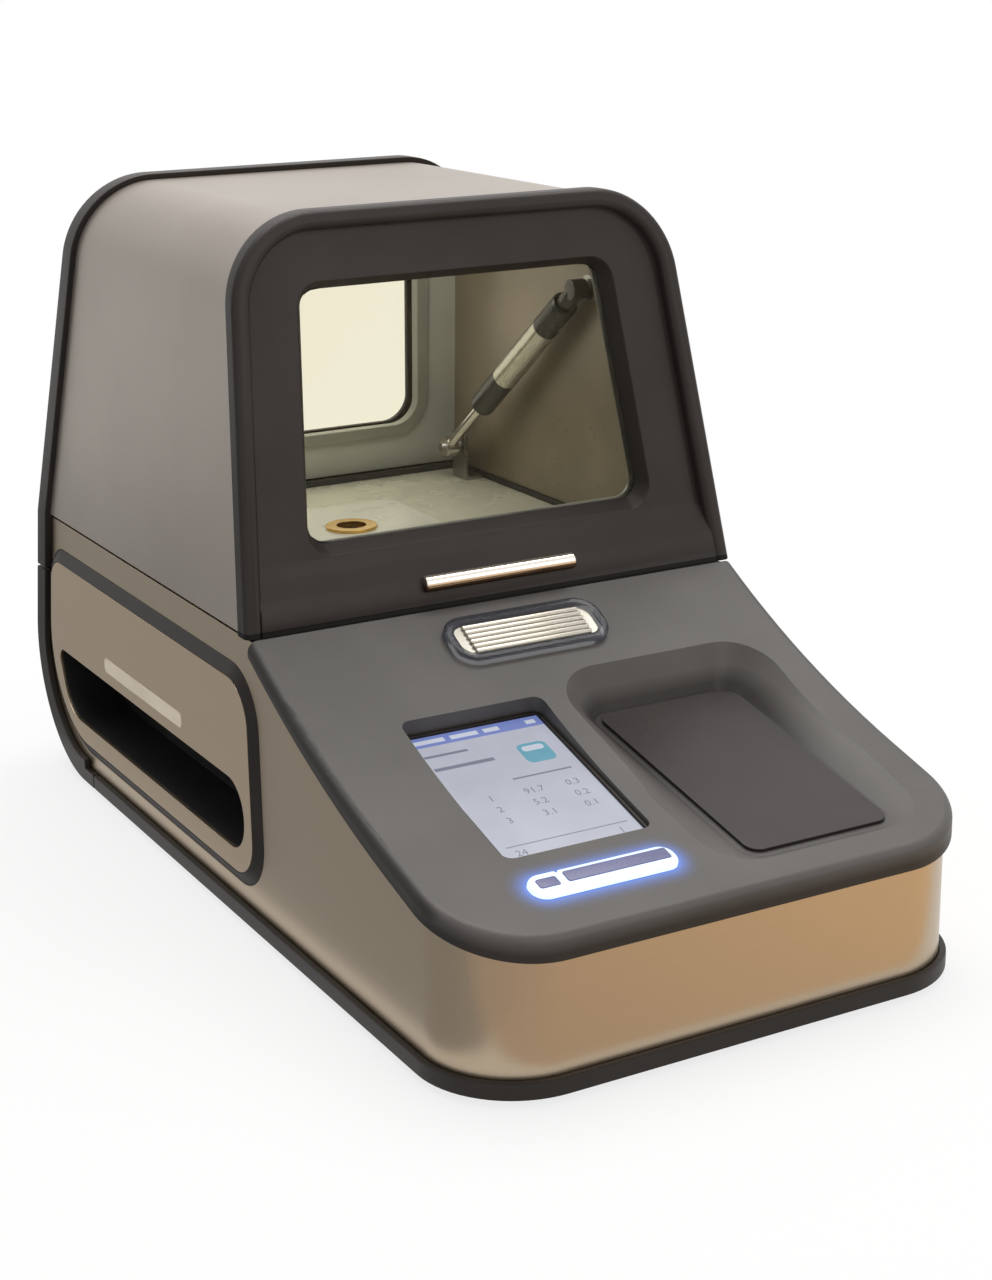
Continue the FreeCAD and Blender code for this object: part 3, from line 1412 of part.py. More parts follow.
finish(rod("tube_can", "Z", d.tube_radius, as_size(0), aperture_along, high_voltage_top,
           tube_top - high_voltage_top),
       "xray_tube")
wheel_along = aperture_along + d.tube_radius + d.motor_radius + 1
wheel = rod("wheel_disc", "Z", d.wheel_radius, as_size(0), wheel_along, wheel_low, d.wheel_sheet)
hole_circle = wheel_along - aperture_along
wheel_cuts = [rod("wheel_hub", "Z", d.wheel_shaft_radius + d.hinge_play, as_size(0), wheel_along,
                  wheel_low - 1,
                  d.wheel_sheet + 2)]
for index in range(int(float(d.wheel_holes))):
    turn = math.radians(360 / float(d.wheel_holes) * index)
    wheel_cuts.append(rod("wheel_hole_%d" % index, "Z", d.wheel_hole_radius,
                          hole_circle * math.sin(turn),
                          wheel_along - hole_circle * math.cos(turn), wheel_low - 1, d.wheel_sheet + 2))
finish(less("wheel", wheel, *wheel_cuts), "filter_wheel")
motor = rod("motor_can", "Z", d.motor_radius, as_size(0), wheel_along, high_voltage_top,
            tube_top - high_voltage_top)
motor_shaft = rod("motor_shaft", "Z", d.wheel_shaft_radius, as_size(0), wheel_along, tube_top - 1,
                  d.wheel_sheet + 2.2)
finish(joined("motor", motor, motor_shaft), "filter_motor")
camera = block("camera_box", as_size(-52), as_size(-34), aperture_along - 9, aperture_along + 9,
               floor_low - 20, floor_low)
finish(camera, "camera_module")

# Connector bay at the rear: mains inlet with rocker, data port, fan with grille, screws

bay_out = bay_face + d.bay_wall
inlet_x, inlet_z = inlet_middle, d.inlet_height
inlet_flange = block("inlet_flange", inlet_x - 17, inlet_x + 17, bay_out, bay_out + 2, inlet_z - 29,
                     inlet_z + 29)
inlet_body = block("inlet_body", inlet_x - inlet_width / 2, inlet_x + inlet_width / 2, bay_face - 22,
                   bay_out,
                   inlet_z - inlet_tall / 2, inlet_z + inlet_tall / 2)
socket_z = inlet_z - 11
socket_hole = block("socket_hole", inlet_x - 11.5, inlet_x + 11.5, bay_face - 14, bay_out + 3,
                    socket_z - 8, socket_z + 8)
rocker_z = inlet_z + 14
rocker_hole = block("rocker_hole", inlet_x - 10, inlet_x + 10, bay_face - 10, bay_out + 3,
                    rocker_z - 7, rocker_z + 7)
blades = [block("blade_%d" % index, inlet_x + x - 0.8, inlet_x + x + 0.8, bay_face - 14,
                bay_face - 4,
                socket_z + z - 2, socket_z + z + 2) for index,
                (x, z) in enumerate(((-7, -2), (0, 2), (7, -2)))]
inlet_case = less("inlet_case", joined("inlet_solid", inlet_flange, inlet_body), socket_hole,
                  rocker_hole)
rocker_pin = rod("rocker_pin", "X", as_size(1.5), inlet_x - 10.5, bay_face - 2, rocker_z, as_size(21))
finish(joined("inlet", inlet_case, rocker_pin, *blades), "power_inlet")
rocker = slab("rocker_solid", "YZ", [(as_size(-5), as_size(-6)), (as_size(2.4), as_size(-5.6)),
                                     (as_size(4), as_size(0)),
                                     (as_size(6), as_size(5.6)), (as_size(-5), as_size(6))],
              inlet_x - 9.6, inlet_x + 9.6)
rocker_bore = rod("rocker_bore", "X", as_size(1.55), inlet_x - 11, as_size(0), as_size(0), as_size(22))
finish(less("rocker", rocker, rocker_bore), "power_rocker", as_size(0), bay_face - 2, rocker_z)
port_x = d.port_middle
port_flange = block("port_flange", port_x - 10, port_x + 10, bay_out, bay_out + 1, inlet_z - 8.5,
                    inlet_z + 8.5)
port_body = block("port_body", port_x - port_width / 2, port_x + port_width / 2, bay_face - 14,
                  bay_out,
                  inlet_z - port_tall / 2, inlet_z + port_tall / 2)
port_hole = block("port_hole", port_x - 6, port_x + 6, bay_face - 11, bay_out + 2, inlet_z - 4.5,
                  inlet_z + 4.5)
finish(less("port", joined("port_solid", port_flange, port_body), port_hole), "data_port")
fan_x, fan_z = fan_middle, d.fan_height
fan_front, fan_deep = bay_face - 12, bay_face
fan_box = block("fan_box", fan_x - d.fan_radius - 1.5, fan_x + d.fan_radius + 1.5, fan_front, fan_deep,
                fan_z - d.fan_radius - 1.5, fan_z + d.fan_radius + 1.5)
fan_bore = rod("fan_bore", "Y", d.fan_radius, fan_x, fan_front - 1, fan_z, as_size(16))
fan_ring = less("fan_ring", fan_box, fan_bore)
fan_hub = rod("fan_hub", "Y", d.fan_hub_radius, fan_x, fan_front, fan_z, as_size(2))
fan_axle = rod("fan_axle", "Y", as_size(1.5), fan_x, fan_front, fan_z, as_size(8))
fan_arms = [block("fan_arm_%d" % index, *spans) for index, spans in enumerate((
    (fan_x - d.fan_radius - 0.5, fan_x + d.fan_radius + 0.5, fan_front, fan_front + 2, fan_z - 1.5,
     fan_z + 1.5),
    (fan_x - 1.5, fan_x + 1.5, fan_front, fan_front + 2, fan_z - d.fan_radius - 0.5,
     fan_z + d.fan_radius + 0.5)))]
finish(joined("fan_frame_solid", fan_ring, fan_hub, fan_axle, *fan_arms), "fan_frame")


def fan_rotor_shape():
    """Hub with blades set at an angle, bored to run on the frame's axle."""
    hub_start = one(fan_front) + 2.5
    hub = Part.makeCylinder(one(d.fan_hub_radius), 7, Vector(0, hub_start, 0), Vector(0, 1, 0))
    blades = []
    count = int(one(d.fan_blades))
    for index in range(count):
        blade = Part.makeBox(8, 1.2, one(d.fan_radius) - 1.5 - one(d.fan_hub_radius) + 1,
                             Vector(-4, -0.6, one(d.fan_hub_radius) - 1))
        blade.rotate(Vector(0, 0, 0), Vector(0, 0, 1), 35)
        blade.translate(Vector(0, hub_start + 3.5, 0))
        blade.rotate(Vector(0, 0, 0), Vector(0, 1, 0), 360 / count * index)
        blades.append(blade)
    bore = Part.makeCylinder(1.55, 20, Vector(0, hub_start - 5, 0), Vector(0, 1, 0))
    bore = bore.common(Part.makeBox(10, 5.8 + 5, 10, Vector(-5, hub_start - 5, -5)))
    rotor = hub.fuse(blades).cut(bore)
    rotor.translate(Vector(one(fan_x), 0, one(fan_z)))
    return rotor


def grille_shape():
    """Guard over the fan: rings on two crossed bars."""
    plate_start = one(bay_out)
    guard = []
    outer = one(d.fan_radius) + 1
    for radius in (outer, outer * 0.72, outer * 0.44):
        ring = Part.makeCylinder(radius, 1.4, Vector(0, plate_start, 0), Vector(0, 1, 0))
        guard.append(ring.cut(Part.makeCylinder(radius - 1.6, 1.4, Vector(0, plate_start, 0),
                                                Vector(0, 1, 0))))
    for wide, tall in ((2 * outer - 1, 1.6), (1.6, 2 * outer - 1)):
        guard.append(Part.makeBox(wide, 1.4, tall, Vector(-wide / 2, plate_start, -tall / 2)))
    grille = guard[0].fuse(guard[1:]).removeSplitter()
    grille.translate(Vector(one(fan_x), 0, one(fan_z)))
    return grille


finish(made("fan_rotor_shape", fan_rotor_shape()), "fan_rotor")
finish(made("grille_shape", grille_shape()), "fan_grille")


def check_and_write():
    """Stop on any failed object, then write each finished piece under its own name."""
    doc.recompute()
    for thing in doc.Objects:
        if "Invalid" in thing.State or "Error" in thing.State:
            raise RuntimeError("%s (%s) failed: %s" % (thing.Name, thing.Label, thing.State))
    for thing in finished:
        if thing.Shape.isNull() or not thing.Shape.isValid():
            raise RuntimeError("%s has no valid shape" % thing.Label)
    os.makedirs("parts", exist_ok=True)
    for thing in finished:
        thing.Shape.exportStep("parts/%s.step" % thing.Label)


check_and_write()
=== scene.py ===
# %% [markdown]
# # A benchtop x-ray fluorescence analyzer
#
# The CAD frame gives every rigid shape of the instrument. This lesson loads it, sets up a plain
# studio, mixes one material for each finish, and then models the pieces and details that make
# the instrument look real: softened edges, the lit display, the glowing keys, the ribbed beacon.

# %% Load the frame
import json
import math

import bmesh
import bpy
from mathutils import Euler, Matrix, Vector


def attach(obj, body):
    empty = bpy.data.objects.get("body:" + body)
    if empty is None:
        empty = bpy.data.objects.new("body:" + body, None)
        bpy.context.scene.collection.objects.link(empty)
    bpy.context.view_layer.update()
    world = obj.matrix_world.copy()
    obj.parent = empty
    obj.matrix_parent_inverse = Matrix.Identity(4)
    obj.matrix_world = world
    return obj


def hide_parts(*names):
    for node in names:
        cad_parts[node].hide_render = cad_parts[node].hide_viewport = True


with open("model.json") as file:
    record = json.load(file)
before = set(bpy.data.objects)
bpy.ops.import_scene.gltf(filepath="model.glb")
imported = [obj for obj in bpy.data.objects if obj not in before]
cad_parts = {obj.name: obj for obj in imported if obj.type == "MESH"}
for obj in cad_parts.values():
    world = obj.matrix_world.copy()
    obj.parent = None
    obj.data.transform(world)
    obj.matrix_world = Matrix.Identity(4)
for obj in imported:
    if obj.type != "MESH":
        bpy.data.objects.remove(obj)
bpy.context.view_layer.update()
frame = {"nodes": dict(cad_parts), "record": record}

nodes = frame["nodes"]
MM = 0.001
print("CAD nodes:", len(nodes))

# %% [markdown]
# ## Camera
#
# The photograph was taken from the front left, a little above the hood. A long lens keeps the
# upright edges almost parallel, so the place and the three angles below were fitted to the
# instrument's corners. The sensor's long side is the picture's height.

# %% Camera
camera_data = bpy.data.cameras.new("studio_camera")
camera_data.sensor_width = 36
camera_data.lens = 64.65
camera = bpy.data.objects.new("studio_camera", camera_data)
camera.location = (-0.51817, -0.97315, 0.45664)
camera.rotation_euler = Euler([math.radians(angle) for angle in (72.7134, 0.7788, -29.4059)])
bpy.context.scene.collection.objects.link(camera)
bpy.context.scene.camera = camera
bpy.context.scene.view_settings.view_transform = "Standard"
print("camera stands", round(camera.location.length, 2), "m from the instrument")

# %% [markdown]
# ## Working helpers
#
# Every operator of Blender acts on what is selected. So each step starts by deselecting all,
# makes one object active, and picks faces or edges in code, by their place or normal. The helpers
# below do only that, so the steps that follow read like the moves made by hand.

# %% Helpers for selecting and editing
SMOOTH = 30  # degrees: a sharper edge than this stays sharp in the shading


def only(piece):
    """Select one object and make it active, in object mode."""
    if bpy.context.object and bpy.context.object.mode != "OBJECT":
        bpy.ops.object.mode_set(mode="OBJECT")
    bpy.ops.object.select_all(action="DESELECT")
    piece.select_set(True)
    bpy.context.view_layer.objects.active = piece


def edit(piece, kind="FACE"):
    """Open a piece in edit mode with nothing selected."""
    only(piece)
    bpy.ops.object.mode_set(mode="EDIT")
    bpy.ops.mesh.select_mode(type=kind)
    bpy.ops.mesh.select_all(action="DESELECT")


def pick(piece, test, kind="faces"):
    """In edit mode, select each face whose centre and normal pass a test, or each edge whose
    middle and direction do. Returns how many did."""
    mesh = bmesh.from_edit_mesh(piece.data)
    count = 0
    for item in getattr(mesh, kind):
        if kind == "faces":
            centre, normal = item.calc_center_median(), item.normal
        else:
            centre = (item.verts[0].co + item.verts[1].co) / 2
            normal = (item.verts[1].co - item.verts[0].co).normalized()
        if test(centre, normal):
            item.select_set(True)
            count += 1
    mesh.select_flush_mode()
    bmesh.update_edit_mesh(piece.data)
    return count


def settle(piece, smooth=None):
    """Put an object's place, turn and scale into its mesh. With an angle, shade it smooth."""
    only(piece)
    bpy.ops.object.transform_apply(location=True, rotation=True, scale=True)
    if smooth is not None:
        bpy.ops.object.shade_smooth_by_angle(angle=math.radians(smooth))


def close(piece):
    """Leave edit mode and settle the piece."""
    bpy.ops.object.mode_set(mode="OBJECT")
    settle(piece)


def apply_modifier(piece, kind, **values):
    """Add a modifier, set its values and apply it."""
    only(piece)
    modifier = piece.modifiers.new(kind.lower(), kind)
    for name, value in values.items():
        setattr(modifier, name, value)
    bpy.ops.object.modifier_apply(modifier=modifier.name)


# %% Helpers for node trees


def node_tree(owner):
    """The node tree of a material or a world, switched on and emptied."""
    owner.use_nodes = True
    tree = owner.node_tree
    tree.nodes.clear()
    return tree


def add(tree, kind, **values):
    """Add a node and set its sockets or its own settings by name."""
    made = tree.nodes.new(kind)
    for name, value in values.items():
        if hasattr(made, name):
            setattr(made, name, value)
        else:
            made.inputs[name.replace("_", " ")].default_value = value
    return made


def join(tree, *pairs):
    """Link each pair of sockets, from an output to an input."""
    for start, end in pairs:
        tree.links.new(start, end)


def spread(tree, value, low, high, start=0.3, end=0.7):
    """A number that goes from low to high as a value goes from start to end."""
    ranged = add(tree, "ShaderNodeMapRange")
    for name, number in (("From Min", start), ("From Max", end), ("To Min", low), ("To Max", high)):
        ranged.inputs[name].default_value = number
    join(tree, (value, ranged.inputs["Value"]))
    return ranged.outputs[0]


# %% [markdown]
# ## Studio
#
# The instrument stands on a plain pale floor. A large soft box over it lights the hood's top and
# the console, a second one from the front right lights the brushed front, and a weak one from
# the left keeps the near flank in shade, as in the photograph. A small lamp lights the chamber.
# The world is white only to the camera and to clear or glossy surfaces, and gives little light of
# its own. Brushed metal shows what it mirrors more than its own colour, so a warm card lies in
# front of it, and two dark ones beside its left flank.

# %% Floor
bpy.ops.mesh.primitive_plane_add(size=14, location=(0, 0, 0))
floor = bpy.context.object
floor.name = "studio_floor"
edit(floor)
bpy.ops.mesh.select_all(action="SELECT")
bpy.ops.mesh.subdivide(number_cuts=5)
close(floor)
print("floor faces:", len(floor.data.polygons))

# %% Floor paint and world
# The floor keeps more of its own shade and shadow near the instrument, and is white further off.
FADE_START, FADE_END = 0.25, 0.75  # metres from the instrument's middle
WHITE_NEAR, WHITE_FAR = 0.78, 1.0


def background_share(tree):
    """1 for rays of the camera, of gloss and of clear pieces, 0 for the rest."""
    path = add(tree, "ShaderNodeLightPath")
    first = add(tree, "ShaderNodeMath", operation="MAXIMUM")
    second = add(tree, "ShaderNodeMath", operation="MAXIMUM")
    join(tree, (path.outputs["Is Camera Ray"], first.inputs[0]),
         (path.outputs["Is Glossy Ray"], first.inputs[1]),
         (first.outputs[0], second.inputs[0]),
         (path.outputs["Is Transmission Ray"], second.inputs[1]))
    return second.outputs[0]


floor_paint = bpy.data.materials.new("floor_paint")
tree = node_tree(floor_paint)
matt = add(tree, "ShaderNodeBsdfDiffuse", Color=(0.86, 0.86, 0.86, 1))
glow = add(tree, "ShaderNodeEmission", Color=(1, 1, 1, 1), Strength=1.0)
blend = add(tree, "ShaderNodeMixShader")
floor_place = add(tree, "ShaderNodeTexCoord")
distance = add(tree, "ShaderNodeVectorMath", operation="LENGTH")
share = add(tree, "ShaderNodeMath", operation="MULTIPLY")
whiter = spread(tree, distance.outputs["Value"], WHITE_NEAR, WHITE_FAR, FADE_START, FADE_END)
join(tree, (floor_place.outputs["Object"], distance.inputs[0]),
     (background_share(tree), share.inputs[0]),
     (whiter, share.inputs[1]),
     (share.outputs[0], blend.inputs[0]),
     (matt.outputs[0], blend.inputs[1]),
     (glow.outputs[0], blend.inputs[2]),
     (blend.outputs[0], add(tree, "ShaderNodeOutputMaterial").inputs[0]))
floor.data.materials.append(floor_paint)

world = bpy.data.worlds.new("studio_world")
bpy.context.scene.world = world
tree = node_tree(world)
world_light = add(tree, "ShaderNodeBackground", Color=(0.98, 0.98, 1.0, 1), Strength=0.42)
white = add(tree, "ShaderNodeBackground", Color=(1, 1, 1, 1), Strength=1.0)
blend = add(tree, "ShaderNodeMixShader")
join(tree, (background_share(tree), blend.inputs[0]),
     (world_light.outputs[0], blend.inputs[1]),
     (white.outputs[0], blend.inputs[2]),
     (blend.outputs[0], add(tree, "ShaderNodeOutputWorld").inputs[0]))
print("floor and world painted")

# %% Soft boxes


def soft_box(name, place, target, width, height, watts, colour):
    """A rectangular lamp that looks at a point."""
    lamp = bpy.data.lights.new(name, "AREA")
    lamp.shape = "RECTANGLE"
    lamp.size, lamp.size_y = width, height
    lamp.energy = watts
    lamp.color = colour
    holder = bpy.data.objects.new(name, lamp)
    holder.location = place
    holder.rotation_euler = (Vector(target) - Vector(place)).to_track_quat("-Z", "Y").to_euler()
    bpy.context.scene.collection.objects.link(holder)


soft_box("overhead_box", place=(0.25, 0.35, 1.9), target=(0, 0, 0.15),
         width=1.8, height=1.6, watts=35, colour=(1.0, 0.98, 0.95))
soft_box("front_box", place=(0.55, -1.7, 0.9), target=(0, -0.2, 0.1),
         width=1.2, height=0.9, watts=6, colour=(1.0, 0.93, 0.84))
soft_box("left_box", place=(-1.9, -0.3, 1.0), target=(0, 0, 0.15),
         width=1.0, height=1.0, watts=1.5, colour=(0.95, 0.97, 1.0))
soft_box("chamber_lamp", place=(0, 0.11, 0.312), target=(0, 0.11, 0.15),
         width=0.12, height=0.08, watts=0.2, colour=(1.0, 0.96, 0.86))
print("lamps:", len(bpy.data.lights))

# %% Cards for the brushed metal to mirror


def card(name, paint, place, width, height, turn=(0, 0, 0)):
    """A card that only shows in what shiny surfaces reflect: the camera doesn't see it."""
    bpy.ops.mesh.primitive_plane_add(size=1)
    sheet = bpy.context.object
    sheet.name = name
    sheet.scale = (width, height, 1)
    sheet.rotation_euler = [math.radians(angle) for angle in turn]
    sheet.location = place
    settle(sheet)
    sheet.visible_camera = False
    sheet.visible_shadow = False
    sheet.visible_diffuse = False
    sheet.visible_transmission = False
    sheet.data.materials.append(paint)


def card_paint(name, left, right, start=-0.9, end=-0.3):
    """A glow for a card that goes from one colour to another between two places along x."""
    paint = bpy.data.materials.new(name)
    tree = node_tree(paint)
    coordinates = add(tree, "ShaderNodeTexCoord")
    axes = add(tree, "ShaderNodeSeparateXYZ")
    blend = add(tree, "ShaderNodeMix", data_type="RGBA")
    blend.inputs["A"].default_value, blend.inputs["B"].default_value = (*left, 1), (*right, 1)
    even = add(tree, "ShaderNodeEmission", Strength=1.0)
    join(tree, (coordinates.outputs["Object"], axes.inputs[0]),
         (spread(tree, axes.outputs["X"], 0.0, 1.0, start, end), blend.inputs["Factor"]),
         (blend.outputs["Result"], even.inputs["Color"]),
         (even.outputs[0], add(tree, "ShaderNodeOutputMaterial").inputs[0]))
    return paint


card("flank_card", card_paint("dark_card", (0.32, 0.32, 0.32), (0.42, 0.42, 0.42)),
     place=(-0.7, 0.35, 0.012), width=1.12, height=1.4)
card("side_card", card_paint("side_card", (0.44, 0.43, 0.42), (0.44, 0.43, 0.42)),
     place=(-1.5, 0.9, 0.6), width=1.2, height=2.6, turn=(0, 90, 0))
card("front_card", card_paint("warm_card", (0.72, 0.59, 0.49), (1.14, 0.87, 0.58), -0.12, 0.22),
     place=(0.45, -1.01, 0.012), width=1.74, height=1.5)
print("studio ready")

# %% [markdown]
# ## Finishes
#
# Each finish is one material. Its colour, roughness and bump come from noise on the object's own
# coordinates, in metres, so the grain has its real size and stays in place from every side. Five
# helpers make the families: moulded plastic, brushed metal, clear pieces, lit faces, and a plain
# surface for the rest.

# %% Helpers for finishes


def noise(tree, size, stretch=(1, 1, 1), detail=3.0, roughness=0.5):
    """Noise with grains of about one size in metres, drawn out along an axis by its stretch."""
    place = add(tree, "ShaderNodeTexCoord")
    scaled = add(tree, "ShaderNodeMapping")
    scaled.inputs["Scale"].default_value = [1 / factor for factor in stretch]
    grain = add(tree, "ShaderNodeTexNoise", Scale=1 / size, Detail=detail, Roughness=roughness)
    join(tree, (place.outputs["Object"], scaled.inputs[0]),
         (scaled.outputs[0], grain.inputs["Vector"]))
    return grain.outputs["Fac"]


def shades(tree, value, dark, light):
    """A colour between two, chosen by a noise value."""
    ramp = add(tree, "ShaderNodeValToRGB")
    ramp.color_ramp.elements[0].position = 0.3
    ramp.color_ramp.elements[1].position = 0.7
    ramp.color_ramp.elements[0].color = (*dark, 1)
    ramp.color_ramp.elements[1].color = (*light, 1)
    join(tree, (value, ramp.inputs[0]))
    return ramp.outputs[0]


def bumped(tree, shader, value, depth):
    """Bump a shader's surface by a noise value, to a depth in metres."""
    bump = add(tree, "ShaderNodeBump", Strength=1.0, Distance=depth)
    join(tree, (value, bump.inputs["Height"]), (bump.outputs[0], shader.inputs["Normal"]))


def linear(red, green, blue):
    """A colour as a paint chart gives it, 0 to 255, in the renderer's linear numbers."""
    return tuple((part / 255 / 12.92) if part <= 10 else ((part / 255 + 0.055) / 1.055) ** 2.4
                 for part in (red, green, blue))


def surface(name, **values):
    """A material with one principled shader. Returns it with its tree and its shader."""
    finish = bpy.data.materials.new(name)
    tree = node_tree(finish)
    shader = add(tree, "ShaderNodeBsdfPrincipled")
    for socket, value in values.items():
        shader.inputs[socket.replace("_", " ")].default_value = value
    join(tree, (shader.outputs[0], add(tree, "ShaderNodeOutputMaterial").inputs[0]))
    return finish, tree, shader


def moulded(name, dark, light, roughness, grain=0.0007, depth=0.00004, **values):
    """Moulded plastic or rubber: fine even grain, and a colour that varies over a hand's width."""
    finish, tree, shader = surface(name, **values)
    fine = noise(tree, grain, detail=2.0)
    join(tree, (shades(tree, noise(tree, 0.05), dark, light), shader.inputs["Base Color"]),
         (spread(tree, fine, roughness - 0.05, roughness + 0.06), shader.inputs["Roughness"]))
    bumped(tree, shader, fine, depth)
    return finish


def brushed(name, dark, light, roughness, stretch, grain=0.0005, depth=0.00002, vary=0.07):
    """Brushed metal: thin scratches drawn out along one direction."""
    finish, tree, shader = surface(name, Metallic=1.0)
    scratches = noise(tree, grain, stretch=stretch, detail=4.0, roughness=0.7)
    join(tree, (shades(tree, scratches, dark, light), shader.inputs["Base Color"]),
         (spread(tree, scratches, roughness - vary, roughness + vary), shader.inputs["Roughness"]))
    bumped(tree, shader, scratches, depth)
    return finish


def clear(name, colour, share, roughness, **values):
    """A clear piece: mostly see-through face on, more of a mirror towards the edge."""
    finish, tree, shader = surface(name, **values)
    facing = add(tree, "ShaderNodeLayerWeight", Blend=0.25)
    deeper = tuple(part * 0.94 for part in colour)
    join(tree, (spread(tree, facing.outputs["Fresnel"], share, 0.95, 0.0, 1.0),
                shader.inputs["Alpha"]),
         (shades(tree, noise(tree, 0.08), colour, deeper), shader.inputs["Base Color"]),
         (spread(tree, noise(tree, 0.03), roughness, roughness + 0.03),
          shader.inputs["Roughness"]))
    return finish


def lit(name, colour, strength, size=0.02):
    """A face that gives off its own light, a little uneven as a back light is."""
    finish, tree, shader = surface(name, Roughness=0.25)
    dim = tuple(part * 0.9 for part in linear(*colour))
    join(tree, (shades(tree, noise(tree, size), dim, linear(*colour)),
                shader.inputs["Emission Color"]))
    shader.inputs["Base Color"].default_value = (0.02, 0.02, 0.025, 1)
    shader.inputs["Emission Strength"].default_value = strength
    return finish


# %% [markdown]
# ## Metals
#
# The base is wrapped in champagne-coloured metal, brushed lengthwise: its scratches are drawn out
# 120 times and kept so faint that they only soften what the metal mirrors. The hood is painted
# with a metallic paint, so it gets tiny flakes in place of scratches. The chamber is enamelled,
# paler on its floor and rear, and browner on its two flanks.

# %% Brushed and painted metals of the shell
champagne = brushed("brushed_champagne", linear(176, 160, 138), linear(181, 164, 142), 0.32,
                    (120, 120, 1), grain=0.00025, depth=0.000002, vary=0.025)
panel_metal = brushed("brushed_panel", linear(198, 178, 152), linear(204, 184, 158), 0.33,
                      (120, 120, 1), grain=0.00025, depth=0.000002, vary=0.025)

hood_metal, tree, shader = surface("hood_metal", Metallic=0.7)
hood_colour = shades(tree, noise(tree, 0.12), linear(150, 141, 132), linear(160, 151, 142))
flakes = noise(tree, 0.0004, detail=2.0)
join(tree, (hood_colour, shader.inputs["Base Color"]),
     (spread(tree, flakes, 0.34, 0.42), shader.inputs["Roughness"]))
bumped(tree, shader, flakes, 0.00001)
print("shell metals: 3")

# %% Metals of the fittings
steel = brushed("brushed_steel", linear(150, 148, 144), linear(182, 180, 176), 0.3, (40, 1, 1),
                depth=0.000005)
screw_steel = brushed("screw_steel", linear(96, 94, 90), linear(116, 114, 110), 0.34,
                      (1, 1, 10), depth=0.000005)
box_metal = brushed("box_metal", linear(150, 152, 154), linear(180, 182, 184), 0.42, (1, 1, 30))
gold = brushed("gold_ring", linear(204, 158, 76), linear(228, 188, 110), 0.22, (20, 20, 1))
chrome = brushed("chrome", linear(212, 205, 198), linear(232, 228, 222), 0.1, (80, 1, 1),
                 depth=0.000004)
ridge_chrome = brushed("ridge_chrome", linear(190, 184, 172), linear(222, 216, 204), 0.16,
                       (80, 1, 1), depth=0.000002)
silver = brushed("bare_silver", linear(196, 192, 182), linear(208, 204, 194), 0.28, (1, 30, 30),
                 depth=0.000002)

# The pull bar's colour holds a painted reflection: brown at its foot, where it sits in the bezel,
# and a painted highlight along its crest.
BAR_FOOT, BAR_CREST = 0.1585, 0.1635
bar_chrome, tree, shader = surface("bar_chrome", Metallic=1.0)
coordinates = add(tree, "ShaderNodeTexCoord")
axes = add(tree, "ShaderNodeSeparateXYZ")
painted_reflection_rise = spread(tree, axes.outputs["Z"], 0.1, 0.9, BAR_FOOT, BAR_CREST)
join(tree, (coordinates.outputs["Object"], axes.inputs[0]),
     (shades(tree, painted_reflection_rise, linear(150, 118, 88), linear(236, 228, 216)),
      shader.inputs["Base Color"]),
     (spread(tree, noise(tree, 0.02), 0.1, 0.16), shader.inputs["Roughness"]))
print("fitting metals: 8")

# %% Enamels of the chamber and the strut
stage_metal = moulded("stage_enamel", linear(188, 188, 176), linear(200, 200, 188), 0.3,
                      grain=0.02, depth=0.00001)
floor_metal = moulded("chamber_floor_enamel", linear(184, 184, 168), linear(194, 194, 178), 0.25,
                      grain=0.02, depth=0.00001)
liner_paint = moulded("liner_paint", linear(164, 166, 154), linear(178, 180, 168), 0.38,
                      grain=0.002, depth=0.00002)
flank_paint = moulded("liner_flank_paint", linear(108, 97, 80), linear(128, 116, 98), 0.32,
                      grain=0.002, depth=0.00002)
strut_paint = moulded("strut_paint", linear(20, 19, 18), linear(27, 25, 24), 0.3, grain=0.03,
                      depth=0.000001)
print("enamels: 5")

# %% [markdown]
# ## Plastics and rubbers
#
# The dark trim, the grey console, the black rubber mat and the pale lamps are all moulded. They
# differ in colour and in the size and depth of their grain. The soft dark ones mirror little, so
# their specular level is turned down.

# %% Plastics and rubbers
trim_plastic = moulded("trim_plastic", linear(34, 29, 26), linear(43, 37, 33), 0.46,
                       Specular_IOR_Level=0.25)
deck_plastic = moulded("deck_plastic", linear(80, 77, 75), linear(89, 86, 84), 0.44,
                       Specular_IOR_Level=0.3)
bezel_plastic = moulded("bezel_plastic", linear(41, 36, 33), linear(50, 44, 41), 0.42,
                        Specular_IOR_Level=0.22)
mat_rubber = moulded("mat_rubber", linear(42, 37, 36), linear(51, 45, 43), 0.36, grain=0.0012,
                     depth=0.00006, Specular_IOR_Level=0.25)
black_rubber = moulded("black_rubber", linear(26, 25, 25), linear(36, 35, 34), 0.6)
lip_rubber = moulded("lip_rubber", linear(14, 12, 11), linear(20, 18, 16), 0.6,
                     Specular_IOR_Level=0.15)
gasket_grey = moulded("gasket_grey", linear(128, 130, 118), linear(142, 144, 130), 0.5)
black_plastic = moulded("black_plastic", linear(24, 24, 25), linear(34, 34, 35), 0.4)
cup_plastic = moulded("cup_plastic", linear(18, 17, 17), linear(26, 24, 24), 0.55,
                      Specular_IOR_Level=0.25)
key_plastic = moulded("key_plastic", linear(86, 88, 128), linear(102, 104, 146), 0.3)
lamp_plastic = moulded("lamp_plastic", linear(222, 208, 184), linear(234, 220, 198), 0.35)
board_green = moulded("board_green", linear(22, 74, 44), linear(34, 92, 56), 0.45, grain=0.003)
print("finishes so far:", len(bpy.data.materials))
